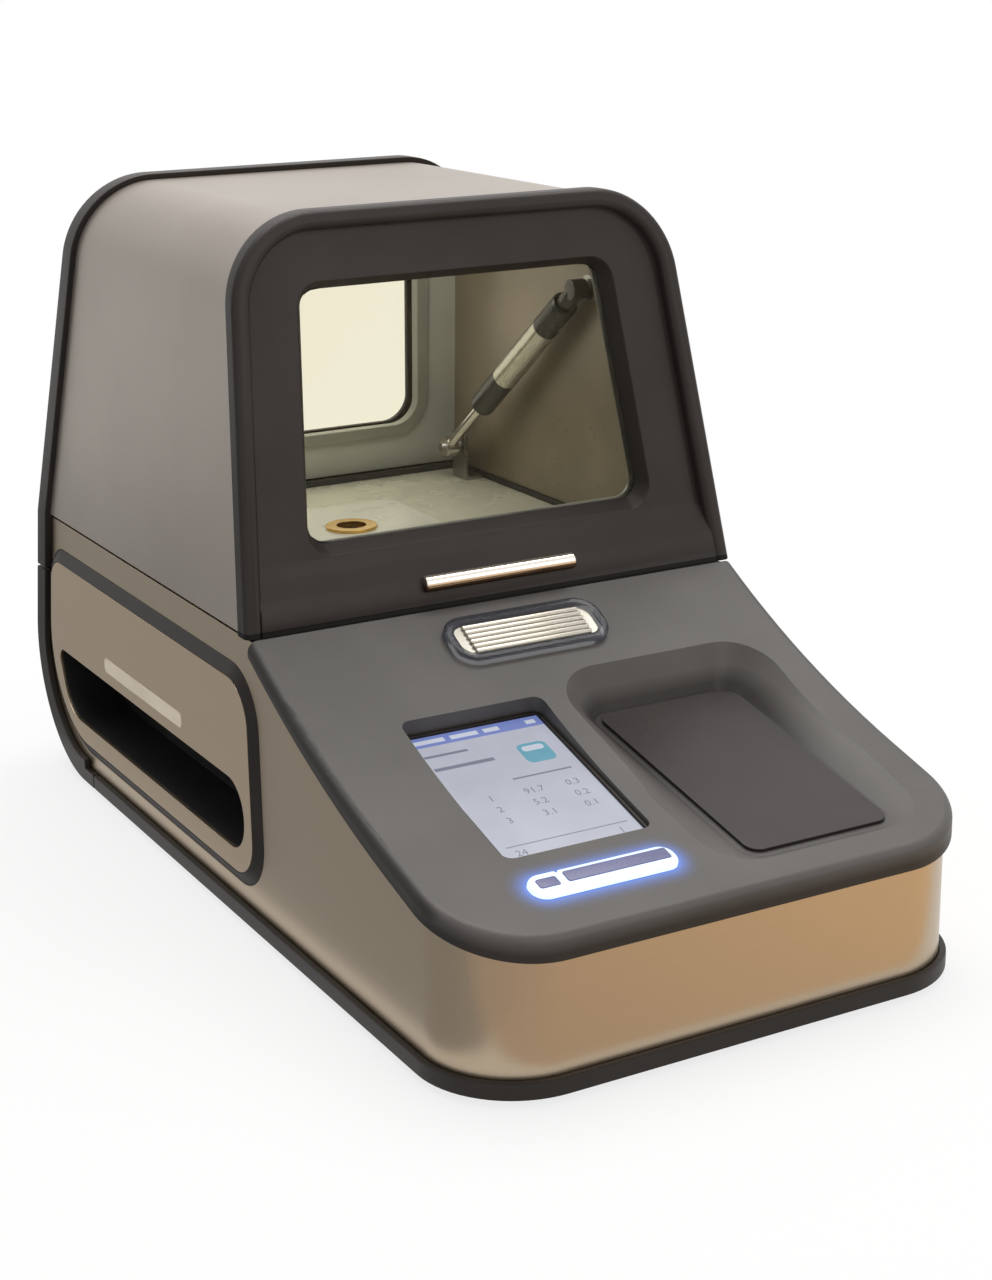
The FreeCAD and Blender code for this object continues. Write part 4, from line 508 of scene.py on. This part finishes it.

# %% [markdown]
# ## Painted glow and painted shade on the console
#
# The light ring throws a blue glow on the console round it. A lamp would light far more than
# that, so the glow is painted: it fades with the distance from a short line, the middle of the
# ring, and stays on the plastic in every view. Painted shade also darkens the console in its
# recesses and along its two outer edges, where less light reaches it.

# %% Blue glow round the light ring, in metres
RING_MIDDLE, RING_HALF_LINE = (-0.0528, -0.2275, 0.0816), 0.0282
GLOW_START, GLOW_END = 0.0065, 0.0185

tree = deck_plastic.node_tree
shader = next(item for item in tree.nodes if item.type == "BSDF_PRINCIPLED")
deck_place = add(tree, "ShaderNodeTexCoord")
from_middle = add(tree, "ShaderNodeVectorMath", operation="SUBTRACT")
from_middle.inputs[1].default_value = RING_MIDDLE
mirrored = add(tree, "ShaderNodeVectorMath", operation="ABSOLUTE")
past_end = add(tree, "ShaderNodeVectorMath", operation="SUBTRACT")
past_end.inputs[1].default_value = (RING_HALF_LINE, 0, 0)
from_line = add(tree, "ShaderNodeVectorMath", operation="MAXIMUM")
distance = add(tree, "ShaderNodeVectorMath", operation="LENGTH")
fade = add(tree, "ShaderNodeMath", operation="POWER")
fade.inputs[1].default_value = 2.6
blue = add(tree, "ShaderNodeMix", data_type="RGBA")
blue.inputs["A"].default_value = (0, 0, 0, 1)
blue.inputs["B"].default_value = (0.05, 0.24, 1.0, 1)
join(tree, (deck_place.outputs["Object"], from_middle.inputs[0]),
     (from_middle.outputs[0], mirrored.inputs[0]),
     (mirrored.outputs[0], past_end.inputs[0]),
     (past_end.outputs[0], from_line.inputs[0]),
     (from_line.outputs[0], distance.inputs[0]),
     (spread(tree, distance.outputs["Value"], 1.0, 0.0, GLOW_START, GLOW_END), fade.inputs[0]),
     (fade.outputs[0], blue.inputs["Factor"]),
     (blue.outputs["Result"], shader.inputs["Emission Color"]))
shader.inputs["Emission Strength"].default_value = 0.9
print("glow reaches", round((GLOW_END - GLOW_START) / MM), "mm")

# %% Painted shade in the recesses and along the edges of the console, in metres
CONSOLE_NORMAL = (0, -0.2588, 0.9659)  # the slope's upward direction
RECESS_FLOOR, DECK_LEVEL = 0.1300, 0.1367  # heights along that direction
EDGE_START, EDGE_END = 0.1285, 0.1315  # distances from the middle plane
EDGE_DARK = 0.9

height = add(tree, "ShaderNodeVectorMath", operation="DOT_PRODUCT")
height.inputs[1].default_value = CONSOLE_NORMAL
axes = add(tree, "ShaderNodeSeparateXYZ")
side = add(tree, "ShaderNodeMath", operation="ABSOLUTE")
painted_shade_mask = add(tree, "ShaderNodeMath", operation="MAXIMUM")
# Painted shade: the console's colour darkens towards this brown-black in its recesses and along its
# two outer edges.
painted_shade_mix = add(tree, "ShaderNodeMix", data_type="RGBA")
painted_shade_mix.inputs["B"].default_value = (*linear(40, 36, 34), 1)
plain_colour = shader.inputs["Base Color"].links[0].from_socket
join(tree, (deck_place.outputs["Object"], height.inputs[0]),
     (deck_place.outputs["Object"], axes.inputs[0]),
     (axes.outputs["X"], side.inputs[0]),
     (spread(tree, height.outputs["Value"], 1.0, 0.0, RECESS_FLOOR, DECK_LEVEL),
      painted_shade_mask.inputs[0]),
     (spread(tree, side.outputs[0], 0.0, EDGE_DARK, EDGE_START, EDGE_END), painted_shade_mask.inputs[1]),
     (plain_colour, painted_shade_mix.inputs["A"]),
     (painted_shade_mask.outputs[0], painted_shade_mix.inputs["Factor"]),
     (painted_shade_mix.outputs["Result"], shader.inputs["Base Color"]))
print("console nodes:", len(tree.nodes))

# %% [markdown]
# ## Clear pieces and lights
#
# The front window is leaded glass, a little yellow and see-through. The rear one bends light so
# little that the white room behind it shows as it is, in a warm tint. The display and the key
# ring give off their own light, so they are emitters at about the level that the eye sees.

# %% Clear pieces and lights
lead_glass = clear("lead_glass", linear(122, 114, 86), 0.03, 0.02, Specular_IOR_Level=0.3)
lead_glass_rear, tree, shader = surface("lead_glass_rear", Transmission_Weight=1.0, IOR=1.02)
join(tree, (shades(tree, noise(tree, 0.2), linear(246, 240, 212), linear(250, 246, 222)),
            shader.inputs["Base Color"]),
     (spread(tree, noise(tree, 0.1), 0.0, 0.02), shader.inputs["Roughness"]))
touch_clear = clear("touch_clear", linear(214, 220, 232), 0.1, 0.05)
rim_clear = clear("beacon_rim", linear(84, 86, 94), 0.3, 0.04)
lens_clear = clear("lens_clear", linear(186, 182, 172), 0.75, 0.26, Metallic=0.7)
ring_glow = lit("ring_glow", (206, 224, 255), 1.6, size=0.008)
screen_light = lit("screen_light", (198, 202, 216), 0.76)
screen_blue = lit("screen_blue", (116, 132, 196), 0.9)
screen_teal = lit("screen_teal", (92, 158, 178), 0.95, size=0.006)
screen_pale = lit("screen_pale", (214, 220, 236), 0.8)
screen_ink = lit("screen_ink", (132, 138, 158), 0.7)
print("finishes:", len(bpy.data.materials))

# %% [markdown]
# ## The CAD pieces
#
# Pressed metal and moulded plastic have no razor edges: a radius of a few tenths of a millimetre
# catches the light along every rim. Each visible CAD piece is copied, its loose triangles are
# merged and joined into whole faces, and a small bevel softens its sharp edges. Pieces that are
# smooth already, or shut inside, keep their CAD mesh and only get a better finish.

# %% Helpers for the CAD pieces
MERGE_GAP = 0.000002  # metres
FLAT = 0.2  # degrees: faces that meet at less than this become one

body_of = {node: body for body, members in frame["record"]["behaviour"]["bodies"].items()
           for node in members}


def coat(piece, finish):
    """Give a piece one finish all over."""
    piece.data.materials.clear()
    piece.data.materials.append(finish)


def dressed(piece, node, finish):
    """Give a piece its finish, and let it stand for a CAD node on the node's body."""
    coat(piece, finish)
    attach(piece, body_of[node])
    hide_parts(node)
    return piece


def softened(node, finish, width):
    """A copy of a CAD node with edges softened by a width in millimetres, to stand for it."""
    piece = bpy.data.objects.new(node + "_soft", nodes[node].data.copy())
    bpy.context.scene.collection.objects.link(piece)
    edit(piece, "VERT")
    bpy.ops.mesh.customdata_custom_splitnormals_clear()
    bpy.ops.mesh.select_all(action="SELECT")
    bpy.ops.mesh.remove_doubles(threshold=MERGE_GAP)
    bpy.ops.mesh.dissolve_limited(angle_limit=math.radians(FLAT))
    close(piece)
    apply_modifier(piece, "BEVEL", width=width * MM, segments=2, limit_method="ANGLE",
                   angle_limit=math.radians(SMOOTH), use_clamp_overlap=False)
    settle(piece, SMOOTH)
    apply_modifier(piece, "WEIGHTED_NORMAL", weight=90, keep_sharp=True)
    return dressed(piece, node, finish)


# %% Soften and paint the CAD pieces
# Each node's finish, and how wide its softened edges are in millimetres.
soft_edges = {
    "base_tray": (trim_plastic, 0.8), "side_wrap": (champagne, 0.3),
    "tray_mat": (mat_rubber, 0.4), "screen_frame": (trim_plastic, 0.4),
    "handle_panel_left": (panel_metal, 0.3), "handle_panel_right": (panel_metal, 0.3),
    "handle_surround_left": (trim_plastic, 0.6), "handle_surround_right": (trim_plastic, 0.6),
    "handle_cup_left": (cup_plastic, 0.5), "handle_cup_right": (cup_plastic, 0.5),
    "side_lamp_left": (lamp_plastic, 0.3), "side_lamp_right": (lamp_plastic, 0.3),
    "rear_panel": (trim_plastic, 0.6), "hood_front_bezel": (bezel_plastic, 0.5),
    "hood_shell": (hood_metal, 0.2), "hood_liner": (liner_paint, 0.3),
    "hood_rear_frame": (bezel_plastic, 0.8), "rear_window_gasket": (gasket_grey, 0.4),
    "pull_bar": (bar_chrome, 0.2), "chamber_floor": (floor_metal, 0.2),
    "chamber_seal": (black_rubber, 0.5), "stage_plate": (stage_metal, 0.3),
    "aperture_ring": (gold, 0.25), "strut_base_bracket": (steel, 0.2),
    "strut_hood_bracket": (steel, 0.2), "strut_rod": (chrome, 0.2),
    "hinge_base_leaves": (steel, 0.2), "hinge_hood_leaves": (steel, 0.2),
    "power_inlet": (black_plastic, 0.3), "power_rocker": (black_plastic, 0.4),
    "data_port": (black_plastic, 0.3), "fan_frame": (black_plastic, 0.3),
    "fan_grille": (steel, 0.2), "feet": (black_rubber, 0.5),
}
soft = {node: softened(node, finish, width) for node, (finish, width) in soft_edges.items()}
plain_finishes = {
    "analysis_head": box_metal, "beacon_bezel": rim_clear, "beacon_lens": lens_clear,
    "camera_module": black_plastic, "chassis_plate": box_metal, "console_deck": deck_plastic,
    "detector": steel, "fan_rotor": black_plastic, "filter_motor": box_metal,
    "filter_wheel": steel, "front_window": lead_glass, "high_voltage_supply": box_metal,
    "hinge_pins": steel, "interlock_plunger": steel, "interlock_switch": black_plastic,
    "keypad_board": board_green, "main_board": board_green, "power_supply": box_metal,
    "rear_window": lead_glass_rear, "screen_module": black_plastic,
    "touch_glass": touch_clear, "xray_tube": steel,
}
for node, finish in plain_finishes.items():
    coat(nodes[node], finish)
print("softened pieces:", len(soft), "and painted nodes:", len(plain_finishes))

# %% [markdown]
# ## Edges of the hood and the inside of the chamber
#
# A dark rubber lip runs along the hood's lower front edge, so the bezel is cut across at the
# lip's height and the faces below get a second finish. The lining is light where it faces the
# rear and the top, and brown on its two flanks, which are picked by where they face.

# %% Dark lip of the hood and brown flanks of the lining
LIP_HEIGHT, FLANK_FOOT = 0.1512, 0.16  # metres


def recoat_picked(piece, finish, test):
    """In edit mode, give the faces that pass a test a second finish, and leave edit mode."""
    bpy.ops.mesh.select_all(action="DESELECT")
    count = pick(piece, test)
    piece.data.materials.append(finish)
    piece.active_material_index = 1
    bpy.ops.object.material_slot_assign()
    close(piece)
    return count


bezel = soft["hood_front_bezel"]
edit(bezel)
bpy.ops.mesh.select_all(action="SELECT")
bpy.ops.mesh.bisect(plane_co=(0, 0, LIP_HEIGHT), plane_no=(0, 0, 1))
print("lip faces:", recoat_picked(bezel, lip_rubber,
                                  lambda centre, normal: centre.z < LIP_HEIGHT))

liner = soft["hood_liner"]
edit(liner)
print("flank faces:", recoat_picked(liner, flank_paint, lambda centre, normal:
                                    abs(normal.x) > 0.9 and centre.z > FLANK_FOOT))

# %% [markdown]
# ## Gas strut
#
# The strut that holds the hood is a thick black cylinder with rounded shoulders, a thinner neck
# and a round eye on the hood's stud, and it wears a bare silver sleeve. Each part is a bar made
# upright and joined with the rest, and then the whole is leaned over onto the strut's line.

# %% Helpers for new pieces


def finished(piece, name, finish, body):
    """Name a new piece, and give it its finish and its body."""
    piece.name = name
    coat(piece, finish)
    settle(piece, SMOOTH)
    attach(piece, body)


def stand_in(piece, node, finish):
    """Let a new piece take a CAD node's place."""
    settle(piece, SMOOTH)
    piece.name = node + "_soft"
    dressed(piece, node, finish)


def turned(piece, *turns):
    """Move a piece step by step: (axis, degrees) turns it, and three millimetres shift it."""
    only(piece)
    for turn in turns:
        if isinstance(turn[0], str):
            bpy.ops.transform.rotate(value=-math.radians(turn[1]), orient_axis=turn[0],
                                     center_override=(0, 0, 0))
        else:
            bpy.ops.transform.translate(value=[part * MM for part in turn])


def bar_of(radius, low, high, rim):
    """A round bar along z with softened rims, all in millimetres."""
    bpy.ops.mesh.primitive_cylinder_add(vertices=48, radius=radius * MM, depth=(high - low) * MM)
    bar = bpy.context.object
    edit(bar, "EDGE")
    pick(bar, lambda centre, normal: abs(normal.z) < 0.1, "edges")
    bpy.ops.mesh.bevel(offset=rim * MM, segments=4)
    close(bar)
    turned(bar, (0, 0, (low + high) / 2))
    return bar


# %% Strut cylinder, in millimetres
STRUT_FOOT, STRUT_HEAD = Vector((103, 193.5, 165)), Vector((103, 48.5, 275))
EYE_RADIUS, EYE_HALF_WIDTH = 5.5, 4.5
TUBE_RADIUS, TUBE_START, TUBE_STOP = 7.2, 52, 14  # the last is short of the head
NECK_RADIUS, NECK_START, NECK_STOP = 5.0, 16, 3  # both are short of the head

along = (STRUT_HEAD - STRUT_FOOT).normalized()
lean = math.degrees(math.atan2(-along.y, along.z))
reach = (STRUT_HEAD - STRUT_FOOT).length
eye = bar_of(EYE_RADIUS, -EYE_HALF_WIDTH, EYE_HALF_WIDTH, 0.6)
turned(eye, ("Y", 90), (0, 0, reach))
tube = bar_of(TUBE_RADIUS, TUBE_START, reach - TUBE_STOP, 1.6)
neck = bar_of(NECK_RADIUS, reach - NECK_START, reach - NECK_STOP, 0.8)
only(tube)
eye.select_set(True)
neck.select_set(True)
bpy.ops.object.join()
turned(tube, ("X", lean), tuple(STRUT_FOOT))
stand_in(tube, "strut_cylinder", strut_paint)
print("strut leans", round(lean, 1), "degrees")

# %% Silver sleeve, in millimetres
SLEEVE_RADIUS, SLEEVE_LENGTH, SLEEVE_WALL, SLEEVE_MIDDLE = 7.35, 56, 0.15, 114

bpy.ops.mesh.primitive_cylinder_add(vertices=48, radius=SLEEVE_RADIUS * MM,
                                    depth=SLEEVE_LENGTH * MM)
sleeve = bpy.context.object
edit(sleeve)
pick(sleeve, lambda centre, normal: abs(normal.z) > 0.9)
bpy.ops.mesh.delete(type="FACE")
bpy.ops.mesh.select_all(action="SELECT")
bpy.ops.mesh.solidify(thickness=SLEEVE_WALL * MM)
close(sleeve)
turned(sleeve, ("X", lean), tuple(STRUT_FOOT + along * SLEEVE_MIDDLE))
finished(sleeve, "strut_sleeve", silver, body_of["strut_cylinder"])
print("sleeve faces:", len(sleeve.data.polygons))

# %% [markdown]
# ## Display
#
# The lit picture is plain: a pale ground, a blue bar, a teal button and rows of numbers. Each
# shape lies a hair above the one below it, square to the console's slope. It is easiest to lay
# them out flat, as on paper, and then to tilt each one into place.

# %% Helpers for the console
SLOPE = 15  # degrees
CONSOLE_FOOT = (0, -256.5, 73.8)  # where the slope starts, in millimetres
console = body_of["touch_glass"]


def on_console(piece, height):
    """Lay a piece that was made flat on the console's slope, a height in millimetres above."""
    turned(piece, (0, 0, height), ("X", SLOPE), CONSOLE_FOOT)


def flat_shape(left, right, low, high, height, corner, steps):
    """A flat shape at a height, with corners rounded in some steps, all in millimetres."""
    bpy.ops.mesh.primitive_plane_add(size=1)
    shape = bpy.context.object
    shape.scale = ((right - left) * MM, (high - low) * MM, 1)
    shape.location = ((left + right) / 2 * MM, (low + high) / 2 * MM, height * MM)
    settle(shape)
    if corner:
        edit(shape, "VERT")
        bpy.ops.mesh.select_all(action="SELECT")
        bpy.ops.mesh.bevel(offset=corner * MM, segments=steps, affect="VERTICES")
        close(shape)
    return shape


def tile(name, left, right, low, high, level, finish, corner=0.0):
    """A lit shape on the display, with rounded corners if they are asked for."""
    shape = flat_shape(left, right, low, high, 0, corner, 5)
    on_console(shape, level)
    finished(shape, name, finish, console)


# %% Lit shapes on the display, in millimetres
LEFT, RIGHT, LOW, HIGH = -84.7, -16.1, 54.7, 150.6
BAR_LOW = 143.0
GROUND_LEVEL, BAR_LEVEL, MARK_LEVEL = -3.44, -3.38, -3.32

tile("display_ground", LEFT, RIGHT, LOW, HIGH, GROUND_LEVEL, screen_light)
tile("display_bar", LEFT, RIGHT, BAR_LOW, HIGH, BAR_LEVEL, screen_blue)
bar_marks = ((-82, -66), (-63, -49), (-46, -38), (-24, -19))
for index, (left, right) in enumerate(bar_marks):
    tile("display_bar_mark_%d" % index, left, right, 145.2, 148.2, MARK_LEVEL, screen_pale)
tile("display_button", -38.5, -23.5, 116.5, 131.5, BAR_LEVEL, screen_teal, corner=3.2)
tile("display_button_shine", -36.5, -25.5, 125.5, 129.5, MARK_LEVEL, screen_pale, corner=1.8)
lines = ((-82, -60, 134.5, 136.2), (-82, -52, 124.0, 126.4), (-52, -22, 107.5, 108.6),
         (-80, -20, 63.4, 64.0))
for index, (left, right, low, high) in enumerate(lines):
    tile("display_line_%d" % index, left, right, low, high, MARK_LEVEL, screen_ink)
print("marks and lines:", len(bar_marks) + len(lines))

# %% Numbers on the display, in millimetres
SIZE_PER_HEIGHT = 1.4  # a font's size for each millimetre of its figures' height
FIGURE_HEIGHT, SMALL_HEIGHT = 4.2, 4.0
COLUMNS, FIRST_ROW, ROW_STEP, FOOT_ROW = (-70, -52, -31), 96, 8.5, 56.8


def figures(name, text, left, low, height):
    """A short row of figures, as a flat mesh."""
    bpy.ops.object.text_add()
    writing = bpy.context.object
    writing.data.body = text
    writing.data.size = height * SIZE_PER_HEIGHT * MM
    writing.data.resolution_u = 2
    only(writing)
    bpy.ops.object.convert(target="MESH")
    writing = bpy.context.object
    turned(writing, (left, low, 0))
    on_console(writing, MARK_LEVEL)
    finished(writing, name, screen_ink, console)


rows = (("1", "91.7", "0.3"), ("2", "5.2", "0.2"), ("3", "3.1", "0.1"))
for row, cells in enumerate(rows):
    for column, (text, left) in enumerate(zip(cells, COLUMNS)):
        figures("display_figure_%d_%d" % (row, column), text, left, FIRST_ROW - row * ROW_STEP,
                FIGURE_HEIGHT)
figures("display_count", "24", -78, FOOT_ROW, SMALL_HEIGHT)
figures("display_page", "1", -27, FOOT_ROW, SMALL_HEIGHT)
print("rows of figures:", len(rows))

# %% [markdown]
# ## Keys
#
# The two keys sit in a domed ring of light. The ring is a block with rounded corners: its upper
# rim is bevelled into a dome, the key holes are cut by booleans, and a small notch in its far side
# parts the small key from the wide one.

# %% Light ring and keys, in millimetres
KEY_GAP = 0.25
NOTCH_RADIUS, NOTCH_DEPTH, NOTCH_PLACE = 4.2, 12, (-72.7, 38.6, 0)
key_places = {"menu_key": (-84.4, -74.6, 27.4, 33.4), "start_key": (-70.8, -20.4, 27.8, 34.8)}


def block(left, right, low, high, bottom, top, corner, rim):
    """A flat block with rounded corners and a bevelled upper rim."""
    shape = flat_shape(left, right, low, high, bottom, corner, 8)
    edit(shape, "VERT")
    bpy.ops.mesh.select_all(action="SELECT")
    bpy.ops.mesh.extrude_region_move(TRANSFORM_OT_translate={"value": (0, 0, (top - bottom) * MM)})
    bpy.ops.mesh.select_all(action="SELECT")
    bpy.ops.mesh.normals_make_consistent(inside=False)
    close(shape)
    if rim:
        edit(shape, "EDGE")
        pick(shape, lambda centre, normal: centre.z > (top - 0.01) * MM, "edges")
        bpy.ops.mesh.bevel(offset=rim * MM, segments=5)
        close(shape)
    return shape


def cut(piece, cutter):
    """Cut one shape out of a piece, and delete the cutter."""
    apply_modifier(piece, "BOOLEAN", operation="DIFFERENCE", object=cutter, solver="EXACT")
    bpy.data.objects.remove(cutter)


ring = block(-88.1, -17.5, 22.75, 37.25, bottom=-0.6, top=2.4, corner=6.6, rim=1.7)
for left, right, low, high in key_places.values():
    cut(ring, block(left - KEY_GAP, right + KEY_GAP, low - KEY_GAP, high + KEY_GAP,
                    bottom=-2, top=6, corner=1.4, rim=0))
bpy.ops.mesh.primitive_cylinder_add(vertices=3, radius=NOTCH_RADIUS * MM, depth=NOTCH_DEPTH * MM)
notch = bpy.context.object
turned(notch, ("Z", 180), NOTCH_PLACE)
settle(notch)
cut(ring, notch)
on_console(ring, 0)
stand_in(ring, "key_light_ring", ring_glow)
for node, (left, right, low, high) in key_places.items():
    key = block(left, right, low, high, bottom=-1.6, top=2.6, corner=1.2, rim=0.35)
    on_console(key, 0)
    stand_in(key, node, key_plastic)
print("faces of the ring:", len(ring.data.polygons))

# %% [markdown]
# ## Beacon and pull bar
#
# The beacon's lens is clear. Six bright ridges run along it, each a rounded bar let into the crest
# of a CAD rib. The pull bar gets the two fine rings by which its end caps meet the bar.

# %% Bright ridges in the beacon, in millimetres and degrees
BEACON_TURN, BEACON_PLACE = 27.56, (0, -73.5, 136.57)
RIDGES, RIDGE_PITCH, RIDGE_RISE = 6, 3.1, 2.95
RIDGE_RADIUS, RIDGE_LENGTH, RIDGE_END = 1.0, 63, 0.8

for index in range(RIDGES):
    bpy.ops.mesh.primitive_cylinder_add(vertices=20, radius=RIDGE_RADIUS * MM,
                                        depth=RIDGE_LENGTH * MM)
    ridge = bpy.context.object
    edit(ridge, "EDGE")
    pick(ridge, lambda centre, normal: abs(normal.z) < 0.1, "edges")
    bpy.ops.mesh.bevel(offset=RIDGE_END * MM, segments=3)
    close(ridge)
    across = RIDGE_PITCH * (index - (RIDGES - 1) / 2)
    turned(ridge, ("Y", 90), (0, across, RIDGE_RISE), ("X", BEACON_TURN), BEACON_PLACE)
    finished(ridge, "beacon_ridge_%d" % index, ridge_chrome, body_of["beacon_lens"])
print("ridges:", RIDGES)

# %% Rings on the pull bar, in millimetres
BAR_RADIUS, RING_WIRE = 4.0, 0.22
ring_places = ((-37.5, -48.75, 161.0), (37.5, -48.75, 161.0))

for index, ring_place in enumerate(ring_places):
    bpy.ops.mesh.primitive_torus_add(major_radius=BAR_RADIUS * MM, minor_radius=RING_WIRE * MM,
                                     major_segments=48, minor_segments=8)
    fine_ring = bpy.context.object
    turned(fine_ring, ("Y", 90), ring_place)
    finished(fine_ring, "pull_bar_ring_%d" % index, steel, body_of["pull_bar"])
print("rings:", len(ring_places))

# %% [markdown]
# ## Screws
#
# Small socket screws hold the fan's grille, the hinges and the rear plate. Each is set where a
# line from behind meets the surface, and turned to that surface.

# %% Socket screws at the rear, in millimetres
SCREW_DEPTH, SOCKET_DEPTH, SOCKET_WALL = 1.2, 0.8, 0.45  # the wall is a share of the radius
SMALL_SCREW, LARGE_SCREW = 1.7, 1.9
FAR_BEHIND = 400
FAN_X, FAN_Z = 66, 62


def screw(name, node, x, z, radius):
    """A socket screw on the rear face of a piece."""
    _, place, facing, _ = soft[node].ray_cast(Vector((x, FAR_BEHIND, z)) * MM, Vector((0, -1, 0)))
    bpy.ops.mesh.primitive_cylinder_add(vertices=24, radius=radius * MM, depth=SCREW_DEPTH * MM)
    head = bpy.context.object
    edit(head)
    pick(head, lambda centre, normal: normal.z > 0.9)
    bpy.ops.mesh.inset(thickness=radius * SOCKET_WALL * MM)
    bpy.ops.mesh.extrude_region_move(TRANSFORM_OT_translate={"value": (0, 0, -SOCKET_DEPTH * MM)})
    close(head)
    turned(head, ("X", math.degrees(math.atan2(-facing.y, facing.z))), tuple(place / MM))
    finished(head, name, screw_steel, body_of[node])


for index, (x, z) in enumerate(((-18, -18), (18, -18), (-18, 18), (18, 18))):
    screw("fan_screw_%d" % index, "rear_panel", FAN_X + x, FAN_Z + z, SMALL_SCREW)
for index, x in enumerate((-88, -52, 52, 88)):
    screw("base_hinge_screw_%d" % index, "hinge_base_leaves", x, 103, LARGE_SCREW)
    screw("hood_hinge_screw_%d" % index, "hinge_hood_leaves", x, 129, LARGE_SCREW)
for index, (x, z) in enumerate(((-90, 44), (-90, 80), (30, 44), (30, 80))):
    screw("plate_screw_%d" % index, "rear_panel", x, z, LARGE_SCREW)
